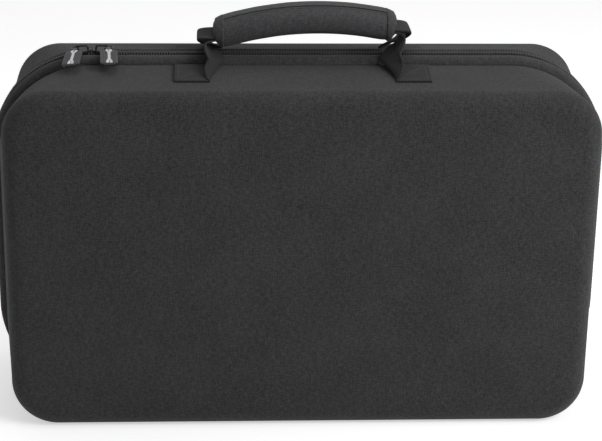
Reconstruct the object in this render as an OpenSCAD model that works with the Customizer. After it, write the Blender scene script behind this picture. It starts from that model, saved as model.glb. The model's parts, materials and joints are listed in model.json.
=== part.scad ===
// Hard-shell console carrying case with a soft two-strap handle, standing upright.
// X is the width, Y the depth with the front face toward -Y, Z the height.
// The shells part on the plane y = 0 and stand on z = 0.

/* [Case] */
// Width over the zip bands
case_w = 450; // [400:1:520]
// Height over the zip bands
case_h = 268.5; // [240:0.5:320]
// Depth from the front face to the back face
case_d = 148; // [120:1:180]
// Thickness of the moulded shell wall
shell_wall = 4.5; // [3:0.1:7]
// Draft of the side walls, degrees
side_draft = 8.5; // [4:0.1:11]
// Draft of the top wall, degrees
top_draft = 6.7; // [4:0.1:10]
// Corner radius of the shell at its open edge
edge_corner_r = 67; // [55:0.5:80]
// Corner radius of the front and back faces
face_corner_r = 34; // [28:0.5:44]
// Radius of the rounded edge between wall and face
face_edge_r = 14; // [9:0.5:20]
// How far the middle of each face bows out
face_crown = 1.6; // [0.5:0.1:3]

/* [Zip band] */
// Width of the zip band between the shells' edges
band_w = 30; // [26:0.5:36]
// How far the zip band stands proud of the shells
band_rise = 6; // [4:0.1:8]
// Thickness of the band cloth
band_cloth = 1.6; // [1:0.1:2]
// Depth of the sewn flange inside the shell
flange_d = 9; // [6:0.5:12]
// How far each woven zip tape reaches under the band's hem
tape_under = 3.2; // [2:0.1:3.4]
// Thickness of the woven zip tape
tape_t = 0.7; // [0.5:0.1:0.9]
// Width of one coil half
coil_w = 3; // [2.4:0.1:3.6]
// Height of the coil
coil_h = 2.6; // [2:0.1:3.2]
// Slit between the coil halves
coil_slit = 1.1; // [1:0.1:1.6]
// Length of the zip's open ends apart from the middle of the bottom
hinge_len = 260; // [200:1:280]
// Thickness of the ribbon over the inner seam
ribbon_t = 1; // [0.8:0.1:1.5]

/* [Sliders] */
// Length of a slider along the zip
slider_len = 14; // [12:0.5:16]
// Distance of the touching slider noses from the start of the top left corner
slider_nose_in = 1.1; // [0:0.1:10]
// Gap between the two slider noses
slider_nose_gap = 0.5; // [0.3:0.1:2]
// Thickness of a slider plate
slider_plate = 1; // [0.9:0.1:1.4]
// Thickness of the web that parts the coils
slider_web = 0.5; // [0.4:0.1:0.5]
// Running clearance between a slider and the zip
slider_clear = 0.3; // [0.25:0.05:0.4]
// Length of the bridge over a slider
bridge_len = 10.6; // [9:0.2:11]
// Height of the bridge's middle line over the slider's top plate
bridge_h = 2.95; // [2.8:0.05:3.6]
// Radius of the bridge's wire
bridge_wire_r = 0.75; // [0.6:0.05:0.8]

/* [Pull tabs] */
// Width of a pull tab
pull_w = 12.4; // [11:0.2:15]
// Length of a pull tab from its pivot to its tip
pull_len = 30; // [26:0.5:32]
// Thickness of a pull tab
pull_t = 2; // [1.6:0.1:2.2]
// Radius of the link's wire
link_wire_r = 0.6; // [0.5:0.05:0.65]
// Width of the link, between the middles of its side wires
link_w = 5.4; // [5:0.1:6]
// Angle that a pull tab slopes down at rest, degrees
pull_slope = 7; // [4:0.5:8]
// Angle that a pull tab leans outward at rest, degrees
pull_lean = 4; // [0:0.5:6]

/* [Handle] */
// Width of the webbing
webbing_w = 30; // [25:0.5:32]
// Thickness of the webbing
webbing_t = 1.6; // [1.2:0.1:1.8]
// Distance of the webbing's sewn ends from the middle of the case
anchor_x = 91; // [85:0.5:110]
// Length of each sewn end
anchor_len = 25; // [20:0.5:35]
// Distance from the open edge of the shell to the webbing
anchor_y = 1.8; // [1:0.1:6]
// Length of the padded handle wrap
grip_len = 130; // [110:1:150]
// Width of the padded wrap, front to back
grip_w = 37; // [34:0.5:42]
// Height of the padded wrap's section
grip_h = 24; // [20:0.5:26]
// Height of the wrap's middle over the zip band
grip_lift = 26; // [26:0.5:40]
// Drop of the wrap's ends below its middle
grip_sag = 7.5; // [0:0.5:7.5]
// Sideways place of the wrap's middle
grip_x = 2.5; // [-5:0.5:5]
// How much higher the wrap's right end rides than its left
grip_tilt = 2.5; // [0:0.5:2.5]
// Clearance round the webbing inside the wrap
grip_clear = 0.35; // [0.3:0.05:0.6]
// Width of the bound hem at each end of the wrap
hem_w = 6; // [4:0.5:8]
// Thickness of the hem's binding
hem_t = 0.9; // [0.6:0.1:1.2]

/* [Inside] */
// Clearance between the foam and the shell
foam_clear = 0.5; // [0.3:0.1:1]
// Thickness of the foam between bays and at its border
foam_border = 12; // [11:0.5:16]
// Thickness of the foam under the console bay
console_floor = 5; // [3:0.5:12]
// Thickness of the foam under the controller bays
controller_floor = 8; // [3:0.5:14]
// Width of the controller bays
controller_bay_w = 118; // [100:1:130]
// Corner radius of the bays
bay_r = 14; // [8:0.5:18]
// Radius of the finger notches
notch_r = 9; // [6:0.5:10]
// Depth of the finger notches
notch_d = 20; // [12:1:24]
// Width of the retaining strap
keeper_w = 25; // [20:0.5:30]
// Thickness of each half of the retaining strap
keeper_t = 1.4; // [1:0.1:2]
// Overlap of the hook half and the loop half
keeper_lap = 60; // [40:1:90]
// Height of the mesh pocket's mouth in the back shell
pocket_h = 175; // [120:1:190]
// Distance of the mesh from the parting plane
pocket_y = 20; // [17:0.5:24]
// Thickness of the mesh
mesh_t = 0.8; // [0.6:0.1:1]
// Width of the pocket's elastic band
elastic_w = 14; // [10:0.5:18]
// Thickness of the pocket's elastic band
elastic_t = 1.4; // [1.2:0.1:2]

/* [Hidden] */

// Steps of a quarter turn on every rounded corner
corner_steps = 12;
// Steps of the rounded edge between wall and face
edge_steps = 5;
// Air between sewn pieces that lie on one another
lay_gap = 0.1;
$fn = 48;

face_y = case_d / 2 - face_crown;
edge_y = band_w / 2;
wall_run = face_y - face_edge_r - edge_y;
edge_w = case_w - 2 * band_rise;
edge_top = case_h - band_rise;
side_inset = wall_run * tan(side_draft);
top_inset = wall_run * tan(top_draft);

// Corner centres, shared by the shells' edges and the zip
corner_x = edge_w / 2 - edge_corner_r;
corner_z = edge_top - edge_corner_r;

// Outlines are lists of [x, z, nx, nz]: a place and the outward direction there.
// They run from the middle of the bottom leftwards, up, over the top and back.
function arc_stations(cx, cz, r, from) =
  [for (i = [0:corner_steps]) let (a = from - 90 * i / corner_steps)
    [cx + r * cos(a), cz + r * sin(a), cos(a), sin(a)]];

function outline(w, low, high, r) = concat(
  arc_stations(-w / 2 + r, low + r, r, 270),
  arc_stations(-w / 2 + r, high - r, r, 180),
  arc_stations(w / 2 - r, high - r, r, 90),
  arc_stations(w / 2 - r, low + r, r, 0));

// A shell's wall at a share s of its run from the open edge, set in by inset
function wall_outline(s, inset) = outline(
  edge_w - 2 * s * side_inset - 2 * inset,
  inset,
  edge_top - s * top_inset - inset,
  max(4, edge_corner_r + s * (face_corner_r - edge_corner_r) - inset));

// Share of the wall's run at a depth v
function wall_share(v) = max(0, (abs(v) - edge_y) / wall_run);

// The zip's outline, level with the coils' underside; it comes in flush at the bottom
zip_low = coil_h + 2;
zip_r = edge_corner_r + band_rise - coil_h;
function zip_outline() = outline(case_w - 2 * coil_h, zip_low, case_h - coil_h, zip_r);

// An open run of an outline, with its ends on the bottom, end_x from the middle
function open_run(o, end_x) = let (low = o[0][1]) concat(
  [[-end_x, low, 0, -1]], o, [[end_x, low, 0, -1]]);

// Place of a section point: u outward from a station, v along Y
function at(station, u, v) = [station[0] + u * station[2], v, station[1] + u * station[3]];
function ring_at(o, y) = [for (s = o) [s[0], y, s[1]]];
function unit(p) = p / norm(p);

// Solid through rings of as many points each, clockwise seen from before the first ring;
// closed joins the last ring to the first
module loft(rings, closed = false) {
  n = len(rings[0]);
  m = len(rings);
  last = closed ? m - 1 : m - 2;
  sides = [for (i = [0:last], j = [0:n - 1]) let (
      a = i * n + j, b = i * n + (j + 1) % n,
      c = ((i + 1) % m) * n + (j + 1) % n, d = ((i + 1) % m) * n + j
    ) each [[a, c, b], [a, d, c]]];
  caps = closed ? [] : [
    [for (j = [0:n - 1]) j],
    [for (j = [n - 1:-1:0]) (m - 1) * n + j]];
  polyhedron(points = [for (r = rings) each r], faces = concat(sides, caps));
}

// Sweep of a section, a list of [u, v], along an outline
module sweep(run, section, closed = false) {
  loft([for (s = run) [for (p = section) at(s, p[0], p[1])]], closed);
}

// Moulded half: rings from the middle of the face out, down the wall and back up inside
function bowl_rings() = let (
    inner_r = face_edge_r - shell_wall,
    turn = edge_y + wall_run,
    outer = [for (i = [edge_steps:-1:0]) let (a = 90 * i / edge_steps)
      ring_at(wall_outline(1, face_edge_r * (1 - cos(a))), -(turn + face_edge_r * sin(a)))],
    inner = [for (i = [0:edge_steps]) let (a = 90 * i / edge_steps)
      ring_at(wall_outline(1, shell_wall + inner_r * (1 - cos(a))), -(turn + inner_r * sin(a)))]
  ) concat(
    [for (q = [[60, 1], [18, 0.6]])
      ring_at(wall_outline(1, face_edge_r + q[0]), -face_y - q[1] * face_crown)],
    outer,
    [ring_at(wall_outline(0, 0), -edge_y)],
    [ring_at(wall_outline(0, shell_wall), -edge_y)],
    inner,
    [for (q = [[18, 0.6], [60, 1]])
      ring_at(wall_outline(1, face_edge_r + q[0]), -face_y + shell_wall - q[1] * face_crown)]);

module front_shell() {
  color("#343436") loft(bowl_rings());
}

module back_shell() {
  color("#343436") mirror([0, 1, 0]) loft(bowl_rings());
}

// Levels inward from the shell's outside where the sewn layers lie
flange_in = shell_wall + lay_gap;
ribbon_in = flange_in + band_cloth + lay_gap;
seam_in = ribbon_in + ribbon_t;
flange_y = edge_y + flange_d;
ribbon_y = flange_y + 3;
throat_y = edge_y - band_cloth - 0.6;

// Section of the band as [s, u, v]: s of the way from the shell's edge to the zip's outline.
// It runs along the cloth's inside from the sewn flange to the hem beside the zip, then back outside.
hem_y = 6.6;
band_section = [
  [0, -flange_in - band_cloth, -flange_y],
  [0, -flange_in - band_cloth, -edge_y],
  [0, -flange_in - band_cloth, -throat_y],
  [0, -1.6, -throat_y],
  [0.5, -0.9, -throat_y + 0.9],
  [0.85, -0.1, -hem_y - 3.6],
  [1, 0.1, -hem_y - 0.4],
  [1, 1.2, -hem_y],
  [1, 1.9, -hem_y - 1.4],
  [0.85, 1.9, -hem_y - 4],
  [0.5, 1.1, -throat_y - 0.4],
  [0, -1, -throat_y - 1.4],
  [0, -flange_in, -throat_y - 1.5],
  [0, -flange_in, -edge_y],
  [0, -flange_in, -flange_y]];

module band() {
  end_x = hinge_len / 2 + lay_gap;
  zip = open_run(zip_outline(), end_x);
  edges = [for (p = band_section) open_run(wall_outline(wall_share(p[2]), 0), end_x)];
  loft([for (i = [0:len(zip) - 1]) [for (k = [0:len(band_section) - 1]) let (p = band_section[k])
    (1 - p[0]) * at(edges[k][i], p[1], p[2]) + p[0] * at(zip[i], p[1], p[2])]]);
}

module front_band() {
  color("#37373a") band();
}

module back_band() {
  color("#37373a") mirror([0, 1, 0]) band();
}

module ribbon() {
  section = [[-seam_in, -ribbon_y], [-seam_in, -edge_y], [-seam_in, -throat_y],
    [-ribbon_in, -throat_y], [-ribbon_in, -edge_y], [-ribbon_in, -ribbon_y]];
  edges = [for (p = section) wall_outline(wall_share(p[1]), 0)];
  loft([for (i = [0:len(edges[0]) - 1]) [for (k = [0:len(section) - 1])
    at(edges[k][i], section[k][0], section[k][1])]], closed = true);
}

module front_ribbon() {
  color("#1c1c1e") ribbon();
}

module back_ribbon() {
  color("#1c1c1e") mirror([0, 1, 0]) ribbon();
}

// Woven tape under the coil; its outer side dips under the band's hem
module tape() {
  slit = coil_slit / 2 + 0.3;
  run = open_run(zip_outline(), hinge_len / 2 + lay_gap);
  sweep(run, [
    [-tape_t - 0.9, -hem_y - tape_under], [-tape_t - 0.05, -hem_y - 0.8], [-tape_t - 0.05, -slit],
    [-0.05, -slit], [-0.05, -hem_y - 0.8], [-0.9, -hem_y - tape_under]]);
}

module front_tape() {
  color("#202022") tape();
}

module back_tape() {
  color("#202022") mirror([0, 1, 0]) tape();
}

zip_stop_len = 6;
zip_end_x = hinge_len / 2 + zip_stop_len + 2 * lay_gap;

module coil() {
  near = coil_slit / 2;
  far = near + coil_w;
  mid = (near + far) / 2;
  sweep(open_run(zip_outline(), zip_end_x), [
    [0, -far], [0, -near], [0.5 * coil_h, -near], [0.86 * coil_h, -near - 0.4],
    [coil_h, -mid], [0.86 * coil_h, -far + 0.4], [0.5 * coil_h, -far]]);
}

module front_coil() {
  color("#2b2b2e") coil();
}

module back_coil() {
  color("#2b2b2e") mirror([0, 1, 0]) coil();
}

// Crimped stop over both tapes where the coils end
module zip_stop(side) {
  wide = 2 * (coil_slit / 2 + coil_w) + 1;
  tall = coil_h - 0.4;
  translate([side * (hinge_len / 2 + lay_gap + zip_stop_len / 2), 0, zip_low])
    rotate([0, 90, 0])
      linear_extrude(zip_stop_len, center = true)
        polygon([[0.05, -wide / 2], [tall - 0.8, -wide / 2], [tall, -wide / 2 + 0.8],
          [tall, wide / 2 - 0.8], [tall - 0.8, wide / 2], [0.05, wide / 2]]);
}

module zip_stop_left() {
  color("#2b2b2e") zip_stop(-1);
}

module zip_stop_right() {
  color("#2b2b2e") zip_stop(1);
}

// Cloth that joins the shells along the bottom, sewn inside both
module hinge_strip() {
  low = 1.4;
  color("#28282a")
    rotate([90, 0, 90])
      linear_extrude(hinge_len, center = true)
        polygon([
          [-flange_y, flange_in], [-throat_y - 1.5, flange_in], [-throat_y - 0.6, low],
          [throat_y + 0.6, low], [throat_y + 1.5, flange_in], [flange_y, flange_in],
          [flange_y, flange_in + band_cloth], [throat_y, flange_in + band_cloth],
          [throat_y - 0.7, low + band_cloth], [-throat_y + 0.7, low + band_cloth],
          [-throat_y, flange_in + band_cloth], [-flange_y, flange_in + band_cloth]]);
}

// Slider, in its own frame: X along the zip towards its nose, Z outward from the zip's outline
slider_half_w = coil_slit / 2 + coil_w + slider_clear + 0.9;
// The straight slider sinks this far into the zip's corner, whose outline is faceted
slider_sag = slider_len ^ 2 / (8 * zip_r) + zip_r * (1 - cos(45 / corner_steps));
slider_low = -tape_t - 0.05 - slider_clear - slider_sag;
slider_deck = coil_h + slider_clear;
slider_top = slider_deck + slider_plate;

module slider_outline() {
  h = slider_half_w;
  polygon([
    [-slider_len / 2, -h + 1.2], [-slider_len / 2 + 1.6, -h], [slider_len / 2 - 3.4, -h],
    [slider_len / 2, -h + 2.2], [slider_len / 2, h - 2.2], [slider_len / 2 - 3.4, h],
    [-slider_len / 2 + 1.6, h], [-slider_len / 2, h - 1.2]]);
}

module bridge() {
  bend = 1.6;
  half = bridge_len / 2 - bridge_wire_r;
  for (side = [-1, 1]) {
    translate([side * half, 0, slider_deck + 0.2])
      cylinder(r = bridge_wire_r, h = slider_plate - 0.2 + bridge_h - bend, $fn = 24);
    translate([side * (half - bend), 0, slider_top + bridge_h - bend])
      rotate([90, 0, side > 0 ? 0 : 180])
        rotate_extrude(angle = 90) translate([bend, 0]) circle(r = bridge_wire_r, $fn = 24);
  }
  translate([0, 0, slider_top + bridge_h])
    rotate([0, 90, 0]) cylinder(r = bridge_wire_r, h = 2 * (half - bend), center = true, $fn = 24);
}

module slider() {
  translate([0, 0, slider_deck]) linear_extrude(slider_plate) slider_outline();
  translate([0, 0, slider_low - slider_plate]) linear_extrude(slider_plate) slider_outline();
  for (side = [-1, 1])
    translate([-slider_len / 2 + 1.6, side > 0 ? slider_half_w - 0.9 : -slider_half_w, 0.25])
      cube([slider_len - 5, 0.9, slider_deck - 0.25 + 0.2]);
  translate([slider_len / 2 - 5, -slider_web / 2, slider_low - 0.2])
    cube([4.4, slider_web, slider_deck - slider_low + 0.4]);
  bridge();
}

pull_bore_r = link_wire_r + 0.2;
pull_hub_r = pull_bore_r + 0.5;

// Link: a wire ring round the bridge's outer leg, with its front wire as the pull tab's axle
link_x = -(bridge_len / 2 - bridge_wire_r);
link_z = slider_top + pull_hub_r + 0.15;
link_front = -3.2;
link_back = 2.1;

module link() {
  for (side = [-1, 1]) {
    translate([link_x + side * link_w / 2, (link_front + link_back) / 2, link_z])
      rotate([90, 0, 0]) cylinder(r = link_wire_r, h = link_back - link_front, center = true, $fn = 24);
    for (y = [link_front, link_back])
      translate([link_x + side * link_w / 2, y, link_z]) sphere(r = link_wire_r, $fn = 24);
  }
  for (y = [link_front, link_back])
    translate([link_x, y, link_z])
      rotate([0, 90, 0]) cylinder(r = link_wire_r, h = link_w, center = true, $fn = 24);
}

// Pull tab, in its own frame: the axle's middle at the origin, the tab along -Y
pull_neck_w = link_w - 2 * link_wire_r - 0.8;

module pull_blade() {
  h = pull_w / 2;
  polygon([
    [-pull_neck_w / 2, -1], [-pull_neck_w / 2, -2.6], [-h + 1.4, -4], [-h, -6],
    [-h, -pull_len + 3.4], [-h + 2.6, -pull_len], [h - 2.6, -pull_len], [h, -pull_len + 3.4],
    [h, -6], [h - 1.4, -4], [pull_neck_w / 2, -2.6], [pull_neck_w / 2, -1]]);
}

// Raised middle rib, forked at both ends
module pull_rib() {
  far = -pull_len + 5;
  polygon([
    [0, -7.6], [1.7, -5.6], [1.9, -7], [0.9, -10], [0.9, far + 5], [1.9, far + 1.8], [1.7, far + 0.4],
    [0, far + 2.6], [-1.7, far + 0.4], [-1.9, far + 1.8], [-0.9, far + 5], [-0.9, -10],
    [-1.9, -7], [-1.7, -5.6]]);
}

module pull() {
  rib_h = 0.45;
  difference() {
    union() {
      translate([0, 0, -pull_t / 2]) linear_extrude(pull_t - rib_h) pull_blade();
      rotate([0, 90, 0]) cylinder(r = pull_hub_r, h = pull_neck_w, center = true, $fn = 32);
      translate([0, 0, pull_t / 2 - rib_h - 0.05]) {
        linear_extrude(rib_h + 0.05) pull_rib();
        for (x = [3, 4.6], side = [-1, 1])
          translate([side * x - 0.4, -pull_len + 4.5, 0])
            cube([0.8, pull_len - 11.5, rib_h * 0.7 + 0.05]);
      }
    }
    rotate([0, 90, 0]) cylinder(r = pull_bore_r, h = pull_neck_w + 1, center = true, $fn = 32);
  }
}

// The right slider stands on the straight top run, the left one past it, round the corner
slider_right_x = slider_nose_in - corner_x + (slider_nose_gap + slider_len) / 2;
left_past = (slider_nose_gap + slider_len) / 2 - slider_nose_in;
slider_left_turn = max(0, left_past) / zip_r * 180 / PI;
slider_left_slip = min(0, left_past);

module on_right_slider() {
  translate([slider_right_x, 0, case_h - coil_h]) mirror([1, 0, 0]) children();
}

module on_left_slider() {
  translate([-corner_x, 0, corner_z])
    rotate([0, -slider_left_turn, 0])
      translate([-slider_left_slip, 0, zip_r]) children();
}

module hung_pull() {
  translate([link_x, link_front, link_z]) rotate([pull_slope, 0, -pull_lean]) pull();
}

module slider_left() {
  color("#232325") on_left_slider() slider();
}

module slider_right() {
  color("#232325") on_right_slider() slider();
}

module link_left() {
  color("#161617") on_left_slider() link();
}

module link_right() {
  color("#161617") on_right_slider() link();
}

module pull_left() {
  color("#8b8b8d") on_left_slider() hung_pull();
}

module pull_right() {
  color("#8b8b8d") on_right_slider() hung_pull();
}

// Middle of the padded wrap at x
function grip_mid(x) = let (t = (x - grip_x) / (grip_len / 2))
  [x, 0, case_h + grip_lift - grip_sag * t * t + grip_tilt * t];

// Front handle strap: sewn ends on the top wall, free bends, and the run through the wrap
strap_y = edge_y + anchor_y + webbing_w / 2;
strap_z = edge_top - (strap_y - edge_y) * tan(top_draft) + (webbing_t / 2 + lay_gap) / cos(top_draft);
layer_z = webbing_t / 2 + 0.15;
bend_steps = 12;
run_steps = 8;
// Handles of a free bend: how far it runs on inward from its foot, and how far it lifts there
strap_run_in = 12;
strap_lift = 4;
// Share of a free bend over which the webbing twists
strap_twist_end = 0.5;

function bezier(p, t) = (1 - t) ^ 3 * p[0] + 3 * t * (1 - t) ^ 2 * p[1] + 3 * t ^ 2 * (1 - t) * p[2] + t ^ 3 * p[3];

// Stations [place, width direction] of one free bend, from the wall to the wrap
function bend_stations(side, layer, bulge) = let (
    foot = [side * (anchor_x - anchor_len), -strap_y, strap_z],
    mouth = grip_mid(grip_x + side * (grip_len / 2 + 0.6)) + [0, 0, layer],
    curve = [foot, foot + [-side * strap_run_in, 0, strap_lift], mouth + [side * bulge, 0, 0], mouth]
  ) [for (i = [0:bend_steps]) let (t = i / bend_steps)
    [bezier(curve, t), unit([-side * 0.5 * sin(180 * min(1, t / strap_twist_end)), 1, (1 - t) * tan(top_draft)])]];

function reversed(list) = [for (i = [len(list) - 1:-1:0]) list[i]];

function strap_stations(layer, bulge) = concat(
  [[[-anchor_x, -strap_y, strap_z], unit([0, 1, tan(top_draft)])]],
  bend_stations(-1, layer, bulge),
  [for (i = [0:run_steps]) let (x = grip_x + grip_len * (i / run_steps - 0.5))
    [grip_mid(x) + [0, 0, layer], [0, 1, 0]]],
  reversed(bend_stations(1, layer, bulge)),
  [[[anchor_x, -strap_y, strap_z], unit([0, 1, tan(top_draft)])]]);

module strap(layer, bulge) {
  st = strap_stations(layer, bulge);
  n = len(st);
  loft([for (i = [0:n - 1]) let (
      along = unit(st[min(i + 1, n - 1)][0] - st[max(i - 1, 0)][0]),
      w = st[i][1] * webbing_w / 2,
      t = unit(cross(along, w)) * webbing_t / 2,
      p = st[i][0]
    ) [p + w + t, p - w + t, p - w - t, p + w - t]]);
}

module front_strap() {
  color("#27272a") strap(-layer_z, 18);
}

module back_strap() {
  color("#27272a") mirror([0, 1, 0]) strap(layer_z, 30);
}

// Directions round the wrap's section, with the webbing channel's corners among them
channel_w = webbing_w / 2 + grip_clear;
channel_h = layer_z + webbing_t / 2 + grip_clear;
channel_turn = atan(channel_w / channel_h);
grip_turns = [for (q = [0, 180]) each [
  q, q + 20, q + 40, q + 60, q + channel_turn, q + 90,
  q + 180 - channel_turn, q + 120, q + 140, q + 160]];

// The wrap's section rounds off over its last stretch, more in height than in width
function grip_scale(t, lost) = let (e = max(0, (abs(t) - 0.9) / 0.1)) 1 - lost * e * e;

function grip_ring(x, grow) = let (
    t = (x - grip_x) / (grip_len / 2),
    a = grip_w / 2 * grip_scale(t, 0.05) + grow,
    b = grip_h / 2 * grip_scale(t, 0.2) + grow,
    c = grip_mid(x)
  ) [for (q = grip_turns) let (r = 1 / sqrt((sin(q) / a) ^ 2 + (cos(q) / b) ^ 2))
    c + [0, -r * sin(q), r * cos(q)]];

function channel_ring(x) = let (c = grip_mid(x))
  [for (q = grip_turns) let (
      r = min(channel_w / max(abs(sin(q)), 1e-6), channel_h / max(abs(cos(q)), 1e-6)))
    c + [0, -r * sin(q), r * cos(q)]];

// Stations of a hem, as shares of the wrap's half length
hem_shares = [for (i = [4:-1:0]) 1 - i / 4 * hem_w / (grip_len / 2)];

module grip_wrap() {
  half = concat([0, 0.25, 0.5, 0.72], hem_shares);
  xs = [for (t = concat([for (i = [len(half) - 1:-1:1]) -half[i]], half)) grip_x + t * grip_len / 2];
  color("#3c3c3e")
    loft(concat([for (x = xs) grip_ring(x, 0)], reversed([for (x = xs) channel_ring(x)])), closed = true);
}

module hem(side) {
  gap = 3 * lay_gap;
  xs = [for (t = side > 0 ? hem_shares : reversed(hem_shares)) grip_x + side * t * grip_len / 2];
  loft(concat([for (x = xs) grip_ring(x, gap + hem_t)],
    reversed([for (x = xs) grip_ring(x, gap)])), closed = true);
}

module hem_left() {
  color("#303033") hem(-1);
}

module hem_right() {
  color("#303033") hem(1);
}

// Foam insert, cut to the front shell, with its top just below the ribbon
foam_top_y = ribbon_y + foam_clear;
foam_low_y = face_y - shell_wall - foam_clear;
bay_x = edge_w / 2 - side_inset - shell_wall - foam_border;
bay_low = shell_wall + foam_border;
bay_high = edge_top - top_inset - shell_wall - foam_border;
console_w = 2 * bay_x - foam_border - controller_bay_w;
controller_h = (bay_high - bay_low - foam_border) / 2;

module rounded(w, h, r) {
  translate([r, 0]) square([w - 2 * r, h]);
  translate([0, r]) square([w, h - 2 * r]);
  for (x = [r, w - r], y = [r, h - r])
    translate([x, y]) circle(r = r);
}

// A bay from the foam's top down to a floor, its low left corner at x, z
module bay(x, z, w, h, floor_t) {
  translate([x, -foam_top_y + 1, z])
    rotate([90, 0, 0])
      linear_extrude(foam_low_y - foam_top_y - floor_t + 1) rounded(w, h, bay_r);
}

module notch(x, z) {
  translate([x, -foam_top_y + 1, z]) rotate([90, 0, 0]) cylinder(r = notch_r, h = notch_d + 1);
}

module foam_block() {
  inner_r = face_edge_r - shell_wall;
  s_top = (foam_top_y - edge_y) / wall_run;
  loft(concat(
    [for (i = [edge_steps:-1:0]) let (a = 90 * i / edge_steps)
      ring_at(wall_outline(1, shell_wall + foam_clear + inner_r * (1 - cos(a))),
        -(edge_y + wall_run + (inner_r - foam_clear) * sin(a)))],
    [ring_at(wall_outline(s_top, shell_wall + foam_clear), -foam_top_y)]));
}

module foam_insert() {
  right_x = bay_x - controller_bay_w;
  color("#1b1b1d")
    difference() {
      foam_block();
      bay(-bay_x, bay_low, console_w, bay_high - bay_low, console_floor);
      bay(right_x, bay_low, controller_bay_w, controller_h, controller_floor);
      bay(right_x, bay_high - controller_h, controller_bay_w, controller_h, controller_floor);
      for (z = [bay_low, bay_high])
        notch(-bay_x + console_w / 2, z);
      for (z = [bay_low + controller_h / 2, bay_high - controller_h / 2])
        notch(bay_x, z);
    }
}

// Hook-and-loop strap over the console bay, its halves laid one on the other
keeper_x = -bay_x + console_w / 2;
keeper_mid = (bay_low + bay_high) / 2;

module keeper(low, high, level) {
  translate([keeper_x - keeper_w / 2, -foam_top_y + lay_gap + level * (keeper_t + lay_gap), low])
    cube([keeper_w, keeper_t, high - low]);
}

module keeper_loop() {
  color("#141416") keeper(seam_in + 0.3, keeper_mid + keeper_lap / 2, 0);
}

module keeper_hook() {
  high = edge_top - seam_in - 0.3 - (ribbon_y - edge_y) * tan(top_draft);
  color("#141416") keeper(keeper_mid - keeper_lap / 2, high, 1);
}

// Mesh pocket, sewn to the back ribbon on three sides
pocket_share = wall_share(pocket_y + mesh_t + elastic_t);
pocket_half = edge_w / 2 - pocket_share * side_inset - seam_in - 0.3;

module pocket_mesh() {
  low = seam_in + 0.3;
  r = edge_corner_r + wall_share(pocket_y) * (face_corner_r - edge_corner_r) - low;
  color("#101011")
    translate([0, pocket_y + mesh_t, 0])
      rotate([90, 0, 0])
        linear_extrude(mesh_t)
          polygon(concat(
            [for (s = arc_stations(-pocket_half + r, low + r, r, 270)) [s[0], s[1]]],
            [[-pocket_half, pocket_h - 2], [pocket_half, pocket_h - 2]],
            [for (s = arc_stations(pocket_half - r, low + r, r, 0)) [s[0], s[1]]]));
}

module pocket_elastic() {
  slot = mesh_t + 0.2;
  deep = slot + 2 * elastic_t;
  color("#0e0e0f")
    translate([-pocket_half, pocket_y + mesh_t / 2 - deep / 2, pocket_h - elastic_w])
      difference() {
        cube([2 * pocket_half, deep, elastic_w]);
        translate([-1, elastic_t, -1]) cube([2 * pocket_half + 2, slot, elastic_w - 0.9]);
      }
}

front_shell();
back_shell();
foam_insert();
front_ribbon();
back_ribbon();
front_band();
back_band();
front_tape();
back_tape();
front_coil();
back_coil();
zip_stop_left();
zip_stop_right();
hinge_strip();
slider_left();
slider_right();
link_left();
link_right();
pull_left();
pull_right();
front_strap();
back_strap();
grip_wrap();
hem_left();
hem_right();
keeper_loop();
keeper_hook();
pocket_mesh();
pocket_elastic();
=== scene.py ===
"""Dresses the console carrying case: cloth-covered shells, zip, webbing handle and fitted inside.

Every length in the classes is in millimetres, in the same frame as the solids. The meshes are
made in metres.
"""

from __future__ import annotations

import json
import logging
import math
from dataclasses import dataclass, field, replace
from enum import Enum
from typing import Any, Callable, Iterable, Sequence

import bmesh
import bpy
import numpy as np
from mathutils import Matrix, Vector
from mathutils.bvhtree import BVHTree

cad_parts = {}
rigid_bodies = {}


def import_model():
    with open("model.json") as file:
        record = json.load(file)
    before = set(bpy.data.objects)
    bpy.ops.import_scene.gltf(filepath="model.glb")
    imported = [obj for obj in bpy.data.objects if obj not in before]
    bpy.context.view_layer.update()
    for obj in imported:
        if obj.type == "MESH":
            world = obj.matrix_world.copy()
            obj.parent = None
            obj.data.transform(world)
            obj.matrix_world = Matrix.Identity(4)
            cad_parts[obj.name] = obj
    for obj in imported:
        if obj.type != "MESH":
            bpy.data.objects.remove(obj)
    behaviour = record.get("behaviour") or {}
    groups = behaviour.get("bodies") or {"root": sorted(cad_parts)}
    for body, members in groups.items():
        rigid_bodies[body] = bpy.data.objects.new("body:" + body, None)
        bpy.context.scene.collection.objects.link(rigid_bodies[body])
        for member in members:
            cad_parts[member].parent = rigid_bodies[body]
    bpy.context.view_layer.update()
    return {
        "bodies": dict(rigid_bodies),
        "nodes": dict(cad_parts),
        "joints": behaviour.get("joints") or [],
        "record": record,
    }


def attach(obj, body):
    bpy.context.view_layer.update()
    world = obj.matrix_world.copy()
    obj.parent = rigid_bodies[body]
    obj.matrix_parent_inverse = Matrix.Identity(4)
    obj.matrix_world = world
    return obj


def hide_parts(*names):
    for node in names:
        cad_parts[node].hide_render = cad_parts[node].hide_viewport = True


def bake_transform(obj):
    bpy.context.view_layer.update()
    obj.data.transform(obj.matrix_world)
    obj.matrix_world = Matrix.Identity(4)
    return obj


MM = 0.001
LOG = logging.getLogger("carrying_case")


class Half(Enum):
    """The two halves of the case, by the side of the parting plane that they stand on."""

    FRONT = -1
    BACK = 1

    @property
    def word(self) -> str:
        """The half's word in the names of pieces."""
        return self.name.lower()

    @property
    def body(self) -> str:
        """The body that the half's pieces ride on."""
        return "front_half" if self is Half.FRONT else "lid"


# Shader sockets


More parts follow.
